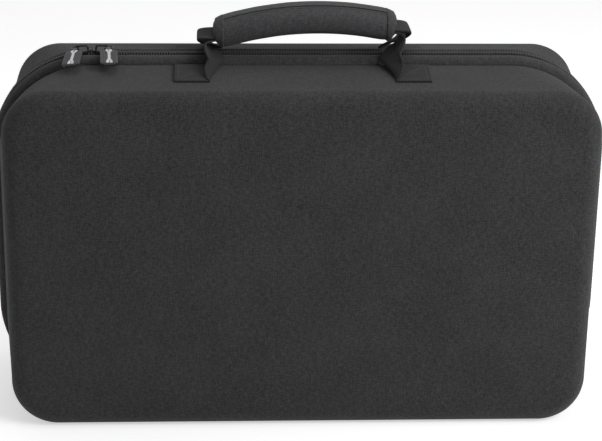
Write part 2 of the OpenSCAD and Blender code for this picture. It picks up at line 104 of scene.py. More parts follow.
class Wire:
    """A shader socket that adds Math nodes when it is used in an expression."""

    def __init__(self, paint: "Paint", socket: bpy.types.NodeSocket) -> None:
        """Wraps a socket.

        Args:
            paint: The material that the socket belongs to.
            socket: The output socket.
        """
        self.paint = paint
        self.socket = socket

    def _math(self, operation: str, *values: Any) -> "Wire":
        """Adds a Math node.

        Args:
            operation: The node's operation.
            values: Its inputs, wires or numbers, in order.

        Returns:
            The node's output.
        """
        return self.paint.node("ShaderNodeMath", {"operation": operation}, dict(enumerate(values)))

    def __add__(self, other: Any) -> "Wire":
        """Adds."""
        return self._math("ADD", self, other)

    __radd__ = __add__

    def __sub__(self, other: Any) -> "Wire":
        """Takes other away."""
        return self._math("SUBTRACT", self, other)

    def __rsub__(self, other: Any) -> "Wire":
        """Takes this away from other."""
        return self._math("SUBTRACT", other, self)

    def __mul__(self, other: Any) -> "Wire":
        """Multiplies."""
        return self._math("MULTIPLY", self, other)

    __rmul__ = __mul__

    def __truediv__(self, other: Any) -> "Wire":
        """Divides by other."""
        return self._math("DIVIDE", self, other)

    def __pow__(self, other: Any) -> "Wire":
        """Raises to a power."""
        return self._math("POWER", self, other)

    def __abs__(self) -> "Wire":
        """The size without its sign."""
        return self._math("ABSOLUTE", self)

    def sine(self) -> "Wire":
        """The sine, in radians."""
        return self._math("SINE", self)

    def floor(self) -> "Wire":
        """The whole number below."""
        return self._math("FLOOR", self)

    def fraction(self) -> "Wire":
        """The part above the whole number."""
        return self._math("FRACT", self)

    def least(self, other: Any) -> "Wire":
        """The smaller of the two."""
        return self._math("MINIMUM", self, other)

    def most(self, other: Any) -> "Wire":
        """The larger of the two."""
        return self._math("MAXIMUM", self, other)

    def eased(self, low: float, high: float) -> "Wire":
        """Rises smoothly from 0 at low to 1 at high.

        Args:
            low: The value that gives 0.
            high: The value that gives 1.

        Returns:
            The eased value.
        """
        return self.paint.node(
            "ShaderNodeMapRange",
            {"interpolation_type": "SMOOTHSTEP"},
            {"Value": self, "From Min": low, "From Max": high},
        )


class Paint:
    """Builds one material's nodes."""

    def __init__(self, name: str) -> None:
        """Starts an empty material.

        Args:
            name: The material's name.
        """
        self.material = bpy.data.materials.new(name)
        self.material.use_nodes = True
        self.tree = self.material.node_tree
        self.tree.nodes.clear()

    def node(
        self,
        kind: str,
        settings: dict[str, Any] | None = None,
        sockets: dict[Any, Any] | None = None,
        out: Any = 0,
    ) -> Wire:
        """Adds a node.

        Args:
            kind: The node's type.
            settings: Its settings, which are set first; "stops" holds a ramp's places and colours.
            sockets: The values or wires of its input sockets, by name or number.
            out: The output that is wanted, by name or number.

        Returns:
            The wanted output.
        """
        made = self.tree.nodes.new(kind)
        for key, value in (settings or {}).items():
            if key == "stops":
                ramp = made.color_ramp
                while len(ramp.elements) < len(value):
                    ramp.elements.new(0.5)
                for element, (place, colour) in zip(ramp.elements, value):
                    element.position, element.color = place, (*colour, 1.0)
            else:
                setattr(made, key, value)
        for key, value in (sockets or {}).items():
            if isinstance(value, Wire):
                self.tree.links.new(value.socket, made.inputs[key])
            else:
                made.inputs[key].default_value = value
        return Wire(self, made.outputs[out])

    def mix(self, factor: Any, first: Any, second: Any) -> Wire:
        """Mixes two colours.

        Args:
            factor: The share of the second, a wire or a number.
            first: The colour at 0, a wire or three numbers.
            second: The colour at 1, a wire or three numbers.

        Returns:
            The mixed colour.
        """
        low, high = (c if isinstance(c, Wire) else (*c, 1.0) for c in (first, second))
        sockets = {0: factor, 6: low, 7: high}
        return self.node("ShaderNodeMix", {"data_type": "RGBA"}, sockets, out=2)

    def along(self) -> tuple[Wire, Wire]:
        """The surface's own places, in metres along and across the cloth."""
        uv = self.node("ShaderNodeUVMap", {"uv_map": "cloth"})
        return self.node("ShaderNodeSeparateXYZ", {}, {0: uv}, out=0), self.node(
            "ShaderNodeSeparateXYZ", {}, {0: uv}, out=1)

    def vector(self, x: Any, y: Any, z: Any = 0.0) -> Wire:
        """Joins three numbers to a vector."""
        return self.node("ShaderNodeCombineXYZ", {}, {0: x, 1: y, 2: z})

    def solid_place(self) -> Wire:
        """Places in the object's own space, in metres."""
        return self.node("ShaderNodeTexCoord", out="Object")

    def noise(self, place: Wire, scale: float, detail: float = 2.0, roughness: float = 0.5) -> Wire:
        """Plain noise between 0 and 1.

        Args:
            place: The vector it is looked up at.
            scale: How many features there are to a unit.
            detail: The finer layers.
            roughness: The finer layers' strength.

        Returns:
            The noise's value.
        """
        sockets = {"Vector": place, "Scale": scale, "Detail": detail, "Roughness": roughness}
        return self.node("ShaderNodeTexNoise", {}, sockets)

    def cells(self, place: Wire, scale: float) -> Wire:
        """The distance to the nearest of scattered points.

        Args:
            place: The vector it is looked up at.
            scale: How many points there are to a unit.

        Returns:
            The distance.
        """
        sockets = {"Vector": place, "Scale": scale}
        return self.node("ShaderNodeTexVoronoi", {"feature": "F1"}, sockets)

    def vector_math(
        self, operation: str, first: Wire, second: Sequence[float], out: int = 0,
    ) -> Wire:
        """Adds a Vector Math node.

        Args:
            operation: The node's operation.
            first: The wired vector.
            second: The fixed vector.
            out: The output that is wanted: 0 for a vector, 1 for a number.

        Returns:
            The wanted output.
        """
        return self.node(
            "ShaderNodeVectorMath", {"operation": operation}, {0: first, 1: tuple(second)}, out=out)

    def bump(self, height: Wire, depth: float, strength: float = 1.0) -> Wire:
        """A bumped normal.

        Args:
            height: The height, from 0 to 1.
            depth: The height of 1, in millimetres.
            strength: The bump's strength.

        Returns:
            The normal.
        """
        sockets = {"Height": height, "Distance": depth * MM, "Strength": strength}
        return self.node("ShaderNodeBump", {}, sockets)

    def surface(self, **sockets: Any) -> bpy.types.Material:
        """Ends the material with a principled surface.

        Args:
            sockets: The surface's sockets, with underscores for the spaces in their names.

        Returns:
            The material.
        """
        named = {key.replace("_", " "): value for key, value in sockets.items()}
        for key, value in named.items():
            if isinstance(value, tuple) and len(value) == 3:
                named[key] = (*value, 1.0)
        made = self.node("ShaderNodeBsdfPrincipled", {}, named)
        self.node_to_output(made)
        return self.material

    def node_to_output(self, made: Wire) -> None:
        """Links a shader to the material's output."""
        output = self.tree.nodes.new("ShaderNodeOutputMaterial")
        self.tree.links.new(made.socket, output.inputs["Surface"])


Colour = tuple[float, float, float]


def paler(colour: Colour, times: float, plus: float = 0.0) -> Colour:
    """A colour's lighter mate.

    Args:
        colour: The colour.
        times: How many times as bright it becomes.
        plus: What is added to that.

    Returns:
        The lighter colour.
    """
    return tuple(min(1.0, c * times + plus) for c in colour)


# Finishes


@dataclass(frozen=True)
class WovenCloth:
    """Heathered woven polyester, as it covers the shells, the bands and the grip."""

    name: str
    dark: Colour
    light: Colour
    pitch: float = 0.8
    depth: float = 0.16
    flecks: float = 1.0
    roughness: float = 0.88
    sheen: float = 0.12
    fine: tuple[float, float] = (260.0, 1100.0)
    coarse: tuple[float, float] = (1200.0, 320.0)
    cloud: float = 26.0
    fleck_range: tuple[float, float] = (0.36, 0.68)
    fleck_share: float = 0.78
    weave_share: float = 0.14
    cloud_share: float = 0.12

    def build(self) -> bpy.types.Material:
        """Builds the material."""
        paint = Paint(self.name)
        u, v = paint.along()
        pitch = self.pitch * MM
        warp = abs((u * (math.pi / pitch)).sine())
        weft = abs((v * (math.pi / pitch)).sine())
        over = ((u / pitch).floor() + (v / pitch).floor()) * 0.5
        over = (over.fraction() * 2.0).eased(0.2, 0.8)
        weave = warp * over + weft * (1 - over)
        across = paint.vector(u * self.fine[0], v * self.fine[1])
        along = paint.vector(u * self.coarse[0], v * self.coarse[1], 3.7)
        slubs = paint.noise(across, 1.0, 3.0, 0.62)
        ends = paint.noise(along, 1.0, 3.0, 0.62)
        fleck = (slubs * over + ends * (1 - over)).eased(*self.fleck_range)
        cloudy = paint.noise(paint.vector(u, v, 1.3), self.cloud, 2.0, 0.5).eased(0.3, 0.7)
        tone = fleck * (self.fleck_share * self.flecks)
        tone = tone + weave * self.weave_share + cloudy * self.cloud_share
        return paint.surface(
            Base_Color=paint.mix(tone, self.dark, self.light),
            Roughness=self.roughness - fleck * 0.08,
            Normal=paint.bump(weave * 0.6 + fleck * 0.5, self.depth),
            Specular_IOR_Level=0.3,
            Sheen_Weight=self.sheen,
            Sheen_Roughness=0.5,
        )


@dataclass(frozen=True)
class Webbing:
    """Ribbed webbing or tape, woven in staggered rows along its length."""

    name: str
    dark: Colour
    light: Colour
    rib: float = 2.2
    row: float = 1.5
    depth: float = 0.35
    slant: float = 0.5
    sheen: float = 0.05
    fibres: tuple[float, float] = (2600.0, 500.0)

    def build(self) -> bpy.types.Material:
        """Builds the material."""
        paint = Paint(self.name)
        u, v = paint.along()
        row = v / (self.row * MM)
        step = u / (self.rib * MM) + row.floor() * self.slant
        knot = abs((step * math.pi).sine()) * abs((row * math.pi).sine())
        fibre = paint.noise(paint.vector(u * self.fibres[0], v * self.fibres[1]), 1.0, 2.0, 0.6)
        tone = knot.eased(0.15, 0.95) * 0.75 + fibre * 0.25
        return paint.surface(
            Base_Color=paint.mix(tone, self.dark, self.light),
            Roughness=0.86 - fibre * 0.12,
            Normal=paint.bump(knot * 0.8 + fibre * 0.2, self.depth),
            Specular_IOR_Level=0.35,
            Sheen_Weight=self.sheen,
        )


@dataclass(frozen=True)
class MouldedNylon:
    """Drawn or moulded nylon, such as the zip's coil."""

    name: str
    colour: Colour
    roughness: float = 0.42

    def build(self) -> bpy.types.Material:
        """Builds the material."""
        paint = Paint(self.name)
        place = paint.solid_place()
        drawn = paint.noise(place, 900.0, 2.0)
        dust = paint.noise(place, 60.0, 3.0).eased(0.45, 0.75)
        pale = paler(self.colour, 1.7, 0.012)
        return paint.surface(
            Base_Color=paint.mix(dust * 0.5 + drawn * 0.2, self.colour, pale),
            Roughness=self.roughness + drawn * 0.16,
            Normal=paint.bump(drawn, 0.03),
            Specular_IOR_Level=0.5,
        )


@dataclass(frozen=True)
class BareMetal:
    """Cast metal that is lacquered, or satin and brushed along its length."""

    name: str
    colour: Colour
    worn: Colour
    metallic: float = 0.0
    roughness: float = 0.3
    coat: float = 0.0
    brushing: tuple[float, float, float] = (2600.0, 300.0, 300.0)

    def build(self) -> bpy.types.Material:
        """Builds the material."""
        paint = Paint(self.name)
        place = paint.solid_place()
        grain = paint.noise(paint.vector_math("MULTIPLY", place, self.brushing), 1.0, 2.0)
        wear = paint.noise(place, 420.0, 3.0).eased(0.52, 0.8)
        return paint.surface(
            Base_Color=paint.mix(wear * 0.7, self.colour, self.worn),
            Metallic=self.metallic,
            Roughness=self.roughness + grain * 0.14 + wear * 0.08,
            Normal=paint.bump(grain, 0.012),
            Coat_Weight=self.coat,
            Coat_Roughness=0.2,
        )


@dataclass(frozen=True)
class PullMetal:
    """A satin pull tab with a painted highlight along its middle rib and a dark tip of painted
    shade.
    """

    name: str
    colour: Colour
    # The colour of the painted highlight along the middle rib.
    bright: Colour
    # The colour of the painted shade on the chamfered tip.
    dark: Colour
    rib: float = 1.0
    rib_blur: float = 0.25
    rib_ends: tuple[float, float] = (0.74, 0.8)
    fork: float = 1.3
    fork_span: tuple[float, float] = (0.3, 0.62)
    groove: float = 1.6
    tip: float = 3.4
    tip_blur: float = 0.9

    @staticmethod
    def axes(tab: bpy.types.Object) -> tuple[np.ndarray, np.ndarray, np.ndarray, float]:
        """Finds how a tab lies from its own shape.

        Args:
            tab: The tab.

        Returns:
            Its middle, the directions along it to its tip and across it, and half its length, all
            in metres.
        """
        points = points_of(tab.data)
        middle = (points.min(0) + points.max(0)) / 2
        _, turned = np.linalg.eigh(np.cov((points - middle).T))
        along, across = turned[:, 2], turned[:, 1]
        along = along if along[1] < 0 else -along
        reach = (points - middle) @ along
        return middle, along, across, float(reach.max() - reach.min()) / 2

    def build(self, tab: bpy.types.Object) -> bpy.types.Material:
        """Builds the material for one tab.

        Args:
            tab: The tab, whose own shape gives the directions along and across it.

        Returns:
            The material.
        """
        middle, along, across, half = self.axes(tab)
        paint = Paint(self.name)
        place = paint.solid_place()
        offset = paint.vector_math("SUBTRACT", place, middle)
        side = abs(paint.vector_math("DOT_PRODUCT", offset, across, out=1))
        run = paint.vector_math("DOT_PRODUCT", offset, along, out=1)
        # Painted highlight: a bright stripe along the middle rib, forked towards both ends.
        fork_from, fork_to = (share * half for share in self.fork_span)
        spread = abs(run).eased(fork_from, fork_to) * (self.fork * MM)
        narrow, wide = (self.rib - self.rib_blur) * MM, (self.rib + self.rib_blur) * MM
        highlight_stripe = (abs(side - spread) * -1.0).eased(-wide, -narrow)
        full, none = (share * half for share in self.rib_ends)
        highlight_stripe = highlight_stripe * (abs(run) * -1.0).eased(-none, -full)
        lines = ((side * (math.tau / (self.groove * MM))).sine() + 1.0) * 0.5
        # Painted shade: the colour darkens over the chamfered tip towards its end.
        blur = self.tip_blur * MM
        end = run.eased(half - self.tip * MM - blur, half - self.tip * MM + blur)
        grain = paint.noise(place, 2400.0, 2.0)
        worn = paint.noise(place, 380.0, 3.0).eased(0.5, 0.8)
        body = paint.mix(worn * 0.5 + lines * 0.3, self.colour, paler(self.colour, 1.5))
        lit = paint.mix(highlight_stripe, body, self.bright)
        return paint.surface(
            Base_Color=paint.mix(end * 0.85, lit, self.dark),
            Metallic=0.55,
            Roughness=grain * 0.1 + worn * 0.08 + 0.36,
            Normal=paint.bump(lines + grain * 0.1, 0.12),
        )


@dataclass(frozen=True)
class CutFoam:
    """Closed-cell foam with a cut, finely pitted face."""

    name: str
    colour: Colour

    def build(self) -> bpy.types.Material:
        """Builds the material."""
        paint = Paint(self.name)
        place = paint.solid_place()
        cells = paint.cells(place, 1100.0)
        pits = paint.noise(place, 2200.0, 3.0, 0.6)
        cloudy = paint.noise(place, 30.0, 2.0)
        pale = paler(self.colour, 2.4, 0.004)
        return paint.surface(
            Base_Color=paint.mix(cells * 0.5 + cloudy * 0.4, self.colour, pale),
            Roughness=0.86 + pits * 0.1,
            Normal=paint.bump(cells * 0.6 + pits * 0.4, 0.16),
            Specular_IOR_Level=0.25,
        )


@dataclass(frozen=True)
class OpenNet:
    """Knitted net with diamond holes."""

    name: str
    colour: Colour
    hole: float = 3.2

    def build(self) -> bpy.types.Material:
        """Builds the material."""
        paint = Paint(self.name)
        u, v = paint.along()
        turn = math.pi / (self.hole * MM)
        one = abs(((u + v) * turn).sine())
        two = abs(((u - v) * turn).sine())
        strand = 1 - one.least(two).eased(0.34, 0.46)
        fibre = paint.noise(paint.vector(u, v), 1500.0, 2.0)
        pale = paler(self.colour, 2.6, 0.006)
        return paint.surface(
            Base_Color=paint.mix(fibre, self.colour, pale),
            Roughness=0.8 - fibre * 0.1,
            Alpha=strand,
            Normal=paint.bump(strand * 0.7 + fibre * 0.3, 0.2),
        )


@dataclass(frozen=True)
class HookAndLoop:
    """Napped hook-and-loop tape."""

    name: str
    colour: Colour

    def build(self) -> bpy.types.Material:
        """Builds the material."""
        paint = Paint(self.name)
        u, v = paint.along()
        tufts = paint.cells(paint.vector(u, v), 1300.0)
        nap = paint.noise(paint.vector(u, v), 2400.0, 3.0, 0.65)
        pale = paler(self.colour, 2.5, 0.01)
        return paint.surface(
            Base_Color=paint.mix(tufts * 0.5 + nap * 0.5, self.colour, pale),
            Roughness=0.9 - nap * 0.08,
            Normal=paint.bump(tufts * 0.5 + nap * 0.5, 0.3),
            Sheen_Weight=0.2,
        )


@dataclass(frozen=True)
class Thread:
    """Twisted sewing thread."""

    name: str
    colour: Colour

    def build(self) -> bpy.types.Material:
        """Builds the material."""
        paint = Paint(self.name)
        ply = paint.noise(paint.solid_place(), 2400.0, 2.0)
        pale = paler(self.colour, 1.8, 0.01)
        return paint.surface(
            Base_Color=paint.mix(ply, self.colour, pale),
            Roughness=0.62 + ply * 0.2,
            Normal=paint.bump(ply, 0.06),
        )


@dataclass(frozen=True)
class Backdrop:
    """White studio paper that the camera sees as plain white and that keeps a soft shadow."""

    name: str
    shade: float = 0.8
    lift: float = 0.53

    def build(self) -> bpy.types.Material:
        """Builds the material."""
        paint = Paint(self.name)
        rays = [paint.node("ShaderNodeLightPath", out=out) for out in (
            "Is Camera Ray", "Is Glossy Ray", "Is Transmission Ray")]
        seen = rays[0].most(rays[1]).most(rays[2])
        paper = paint.node("ShaderNodeBsdfDiffuse", {}, {"Color": (self.shade,) * 3 + (1.0,)})
        sockets = {"Color": (1.0, 1.0, 1.0, 1.0), "Strength": seen * self.lift}
        glow = paint.node("ShaderNodeEmission", {}, sockets)
        paint.node_to_output(paint.node("ShaderNodeAddShader", {}, {0: paper, 1: glow}))
        return paint.material


class Finishes:
    """Every finish on the case, built once."""

    def __init__(self) -> None:
        """Builds the materials."""
        self.shell = WovenCloth(
            "shell_cloth", (0.0078, 0.0078, 0.0083), (0.052, 0.052, 0.055)).build()
        self.band = WovenCloth(
            "band_cloth", (0.018, 0.018, 0.019), (0.06, 0.06, 0.063), flecks=0.9).build()
        self.grip = WovenCloth(
            "grip_cloth", (0.024, 0.024, 0.0255), (0.074, 0.074, 0.078), pitch=0.7).build()
        self.hem = WovenCloth(
            "hem_cloth", (0.02, 0.02, 0.021), (0.066, 0.066, 0.07), pitch=0.9).build()
        self.lining = WovenCloth(
            "lining_cloth", (0.012, 0.012, 0.013), (0.032, 0.032, 0.034), pitch=0.5).build()
        self.webbing = Webbing("webbing", (0.0055, 0.0055, 0.006), (0.036, 0.036, 0.038)).build()
        self.tape = Webbing(
            "zip_tape", (0.006, 0.006, 0.0065), (0.028, 0.028, 0.03),
            rib=0.9, row=0.7, depth=0.15).build()
        self.ribbon = Webbing(
            "ribbon", (0.006, 0.006, 0.0065), (0.026, 0.026, 0.028),
            rib=1.0, row=40.0, depth=0.2, slant=0.0).build()
        self.elastic = Webbing(
            "elastic", (0.007, 0.007, 0.0075), (0.03, 0.03, 0.032),
            rib=0.8, row=1.6, depth=0.3).build()
        self.coil = MouldedNylon("zip_coil", (0.05, 0.05, 0.052)).build()
        self.lacquer = BareMetal(
            "slider_metal", (0.009, 0.009, 0.01), (0.03, 0.03, 0.031),
            roughness=0.24, coat=0.3).build()
        self.wire = BareMetal(
            "link_metal", (0.008, 0.008, 0.008), (0.028, 0.028, 0.029),
            roughness=0.28, coat=0.2).build()
        # The pull's near-white colour is a painted highlight on its rib, and its darkest colour is
        # painted shade on its tip.
        self.pull = PullMetal(
            "pull_metal", (0.11, 0.11, 0.115), (0.85, 0.85, 0.86), (0.02, 0.02, 0.021))
        self.foam = CutFoam("foam", (0.0075, 0.0075, 0.008)).build()
        self.net = OpenNet("mesh_cloth", (0.008, 0.008, 0.0085)).build()
        self.keeper = HookAndLoop("keeper_cloth", (0.008, 0.008, 0.0085)).build()
        self.thread = Thread("sewing_thread", (0.035, 0.035, 0.037)).build()
        self.paper = Backdrop("studio_paper").build()


# Mesh making


def metres(points: np.ndarray) -> np.ndarray:
    """Millimetres to metres."""
    return np.asarray(points, float) * MM


def points_of(mesh: bpy.types.Mesh) -> np.ndarray:
    """A mesh's points, one row each, in metres."""
    flat = np.zeros(len(mesh.vertices) * 3)
    mesh.vertices.foreach_get("co", flat)
    return flat.reshape(-1, 3)


def cloth_grid(along: np.ndarray, across: np.ndarray) -> np.ndarray:
    """The place on the cloth of every crossing of two sets of lengths."""
    return np.stack(np.meshgrid(along, across, indexing="ij"), 2)


def unit(rows: np.ndarray) -> np.ndarray:
    """The rows, each a unit long."""
    return rows / np.linalg.norm(rows, axis=1)[:, None]


def applied(piece: bpy.types.Object) -> bpy.types.Mesh:
    """A new mesh that holds what the object's modifiers make of it."""
    graph = bpy.context.evaluated_depsgraph_get()
    return bpy.data.meshes.new_from_object(piece.evaluated_get(graph))


def made_object(
    name: str,
    points: np.ndarray,
    faces: Sequence[Sequence[int]],
    uvs: np.ndarray | None = None,
    sharp: float = 40.0,
    outward: bool = True,
) -> bpy.types.Object:
    """Makes a mesh object from points in millimetres.

    Args:
        name: The piece's name.
        points: The vertices, one row each.
        faces: The vertex numbers of each face.
        uvs: One place on the cloth, in millimetres, for each corner of each face in order.
        sharp: Edges that turn by more degrees than this stay sharp.
        outward: Whether the faces are turned to face outward.

    Returns:
        The new object.
    """
    mesh = bpy.data.meshes.new(name)
    corners = [tuple(int(i) for i in f) for f in faces]
    mesh.from_pydata([tuple(p) for p in metres(points)], [], corners)
    if uvs is not None:
        layer = mesh.uv_layers.new(name="cloth")
        layer.data.foreach_set("uv", metres(uvs).astype(np.float32).ravel())
    if outward:
        work = bmesh.new()
        work.from_mesh(mesh)
        bmesh.ops.recalc_face_normals(work, faces=work.faces)
        work.to_mesh(mesh)
        work.free()
    mesh.shade_smooth()
    mesh.set_sharp_from_angle(angle=math.radians(sharp))
    mesh.update()
    made = bpy.data.objects.new(name, mesh)
    bpy.context.scene.collection.objects.link(made)
    return made


def lofted(
    name: str,
    rings: np.ndarray,
    cloth: np.ndarray,
    round_ring: bool = True,
    round_run: bool = False,
    capped: bool = False,
    sharp: float = 40.0,
) -> bpy.types.Object:
    """Makes a surface through rings of as many points each.

    Args:
        name: The piece's name.
        rings: The rings' points, rings by points by three.
        cloth: The place on the cloth of each point, with one more column where the ring closes and
            one more row where the run does.
        round_ring: Whether each ring closes on itself.
        round_run: Whether the last ring joins the first.
        capped: Whether the first and last rings get a face.
        sharp: Edges that turn by more degrees than this stay sharp.

    Returns:
        The new object.
    """
    m, n = rings.shape[:2]
    rows = m if round_run else m - 1
    cols = n if round_ring else n - 1
    i, j = np.meshgrid(np.arange(rows), np.arange(cols), indexing="ij")
    i, j = i.ravel(), j.ravel()
    i2, j2 = (i + 1) % m, (j + 1) % n
    faces = np.stack([i * n + j, i2 * n + j, i2 * n + j2, i * n + j2], 1).tolist()
    squares = [cloth[i, j], cloth[i + 1, j], cloth[i + 1, j + 1], cloth[i, j + 1]]
    uvs = [np.stack(squares, 1).reshape(-1, 2)]
    if capped:
        for row in (0, m - 1):
            faces.append([row * n + k for k in range(n)])
            uvs.append(cloth[row, :n])
    return made_object(name, rings.reshape(-1, 3), faces, np.concatenate(uvs), sharp)


def lengths(points: np.ndarray, closed: bool = False) -> np.ndarray:
    """The length run at each point of a line, with one more at the end of a closed one."""
    ends = np.concatenate([points, points[:1]]) if closed else points
    return np.concatenate([[0.0], np.cumsum(np.linalg.norm(np.diff(ends, axis=0), axis=1))])


def extruded(name: str, section: np.ndarray, xs: np.ndarray) -> bpy.types.Object:
    """Makes a closed strip that runs along X.

    Args:
        name: The piece's name.
        section: The section's depths and heights.
        xs: The places along it.

    Returns:
        The new object.
    """
    rings = np.stack([np.insert(section, 0, x, axis=1) for x in xs])
    return lofted(name, rings, cloth_grid(xs, lengths(section, closed=True)), capped=True)


def repeated(
    name: str,
    points: np.ndarray,
    faces: Sequence[Sequence[int]],
    places: np.ndarray,
    axes: np.ndarray,
    sharp: float = 60.0,
) -> bpy.types.Object:
    """Makes one object of a small form set down many times.

    Args:
        name: The piece's name.
        points: The form's own points.
        faces: The form's faces.
        places: Where each copy goes.
        axes: Each copy's X, Y and Z directions, copies by three by three.
        sharp: Edges that turn by more degrees than this stay sharp.

    Returns:
        The new object.
    """
    spots = places[:, None, :] + np.einsum("pk,ckd->cpd", points, axes)
    step = len(points)
    every = [[c * step + i for i in f] for c in range(len(places)) for f in faces]
    return made_object(name, spots.reshape(-1, 3), every, None, sharp)


def stitch_form() -> tuple[np.ndarray, list[list[int]]]:
    """A stitch a unit long, wide and high: a low rounded grain along X."""
    sides, rings = 6, [(-0.42, 0.55), (-0.2, 0.95), (0.2, 0.95), (0.42, 0.55)]
    points = [(-0.5, 0.0, 0.0)]
    for x, r in rings:
        points += [(x, 0.5 * r * math.cos(t), 0.5 * r * math.sin(t)) for t in (
            2 * math.pi * k / sides for k in range(sides))]
    points.append((0.5, 0.0, 0.0))
    last = len(points) - 1
    faces = [[0, 1 + (k + 1) % sides, 1 + k] for k in range(sides)]
    for r in range(len(rings) - 1):
        a = 1 + r * sides
        faces += [[a + k, a + (k + 1) % sides, a + sides + (k + 1) % sides, a + sides + k]
                  for k in range(sides)]
    a = 1 + (len(rings) - 1) * sides
    faces += [[a + k, a + (k + 1) % sides, last] for k in range(sides)]
    return np.array(points), faces


@dataclass
class Seam:
    """A row of stitches along a line on a surface."""

    pitch: float = 3.0
    stitch: float = 2.2
    width: float = 0.55
    height: float = 0.5
    rows: list[tuple[np.ndarray, np.ndarray]] = field(default_factory=list)

    def run(self, line: np.ndarray, out: np.ndarray) -> "Seam":
        """Adds a line of stitches.

        Args:
            line: The points that it follows.
            out: The direction away from the surface at each point.

        Returns:
            This seam.
        """
        self.rows.append((np.asarray(line, float), np.asarray(out, float)))
        return self

    def build(self, name: str) -> bpy.types.Object:
        """Sews the stitches.

        Args:
            name: The piece's name.

        Returns:
            The object with every stitch.
        """
        places, axes = [], []
        for line, out in self.rows:
            done = lengths(line)
            count = max(1, int(done[-1] / self.pitch))
            start = (done[-1] - (count - 1) * self.pitch) / 2
            at = start + self.pitch * np.arange(count)
            spot = np.stack([np.interp(at, done, line[:, k]) for k in range(3)], 1)
            ahead = np.stack([np.interp(at + 0.5, done, line[:, k]) for k in range(3)], 1)
            behind = np.stack([np.interp(at - 0.5, done, line[:, k]) for k in range(3)], 1)
            up = np.stack([np.interp(at, done, out[:, k]) for k in range(3)], 1)
            x = unit(ahead - behind)
            y = unit(np.cross(up, x))
            z = np.cross(x, y)
            places.append(spot)
            axes.append(np.stack([x * self.stitch, y * self.width, z * self.height], 1))
        points, faces = stitch_form()
        return repeated(name, points, faces, np.concatenate(places), np.concatenate(axes))


def dressed(
    piece: bpy.types.Object,
    finish: bpy.types.Material,
    body: str | None,
    replaced: Iterable[str] = (),
) -> bpy.types.Object:
    """body: The body that it rides on, or None where it rides on none.
        replaced: The CAD nodes that it stands for.

    Returns:
        The piece.
    """
    piece.data.materials.clear()
    piece.data.materials.append(finish)
    names = list(replaced)
    if names:
        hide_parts(*names)
    if body:
        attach(piece, body)
    LOG.info("%s: %d faces", piece.name, len(piece.data.polygons))
    return piece


def repainted(frame: dict[str, Any], node: str, finish: bpy.types.Material) -> None:
    """Gives a CAD node a better material, on its own faces."""
    mesh = frame["nodes"][node].data
    mesh.materials.clear()
    mesh.materials.append(finish)
    LOG.info("%s repainted", node)


# Outlines


@dataclass
class Run:
    """Stations along an outline in the X-Z plane: places and outward directions."""

    place: np.ndarray
    out: np.ndarray
    closed: bool = True

    def at(self, u: float | np.ndarray, y: float) -> np.ndarray:
        """The points u outward from the stations, at a depth y."""
        p = self.place + self.out * (np.asarray(u).reshape(-1, 1) if np.ndim(u) else u)
        return np.stack([p[:, 0], np.full(len(p), y), p[:, 1]], 1)

    def opened(self, end_x: float, like: "Run | None" = None) -> "Run":
        """The same outline, open along the bottom up to end_x from its middle.

        Args:
            end_x: Half the opening.
            like: The outline that says which stations go, where both must keep the same ones.

        Returns:
            The open run.
        """
        guide = like or self
        keep = ~((np.abs(guide.out[:, 1] + 1) < 1e-9) & (np.abs(guide.place[:, 0]) < end_x))
        place, down = guide.place[keep], guide.out[keep][:, 1] < -0.999
        start = int(np.argmin(np.where(down, np.abs(place[:, 0] + end_x), 1e9)))
        order = np.roll(np.arange(len(place)), -start)
        if place[order[1], 0] > place[order[0], 0]:
            order = order[::-1]
        p, o = self.place[keep][order], self.out[keep][order]
        low = self.place[:, 1].min()
        ends = np.array([[-end_x, low]]), np.array([[end_x, low]])
        down = np.array([[0.0, -1.0]])
        return Run(np.concatenate([ends[0], p, ends[1]]), np.concatenate([down, o, down]), False)

    def sampled(self, u: float, pitch: float) -> tuple[np.ndarray, np.ndarray, np.ndarray]:
        """Even steps along the line that lies u outward.

        Args:
            u: The distance outward.
            pitch: The step.

        Returns:
            The places in the X-Z plane on the outline itself, the outward directions and the
            directions along.
        """
        line = self.place + self.out * u
        done = lengths(line, self.closed)
        place, out = self.place, self.out
        if self.closed:
            place, out = np.concatenate([place, place[:1]]), np.concatenate([out, out[:1]])
        count = int(done[-1] / pitch)
        at = (done[-1] - (count - 1) * pitch) / 2 + pitch * np.arange(count)
        p = np.stack([np.interp(at, done, place[:, k]) for k in range(2)], 1)
        o = np.stack([np.interp(at, done, out[:, k]) for k in range(2)], 1)
        o = unit(o)
        return p, o, np.stack([-o[:, 1], o[:, 0]], 1)


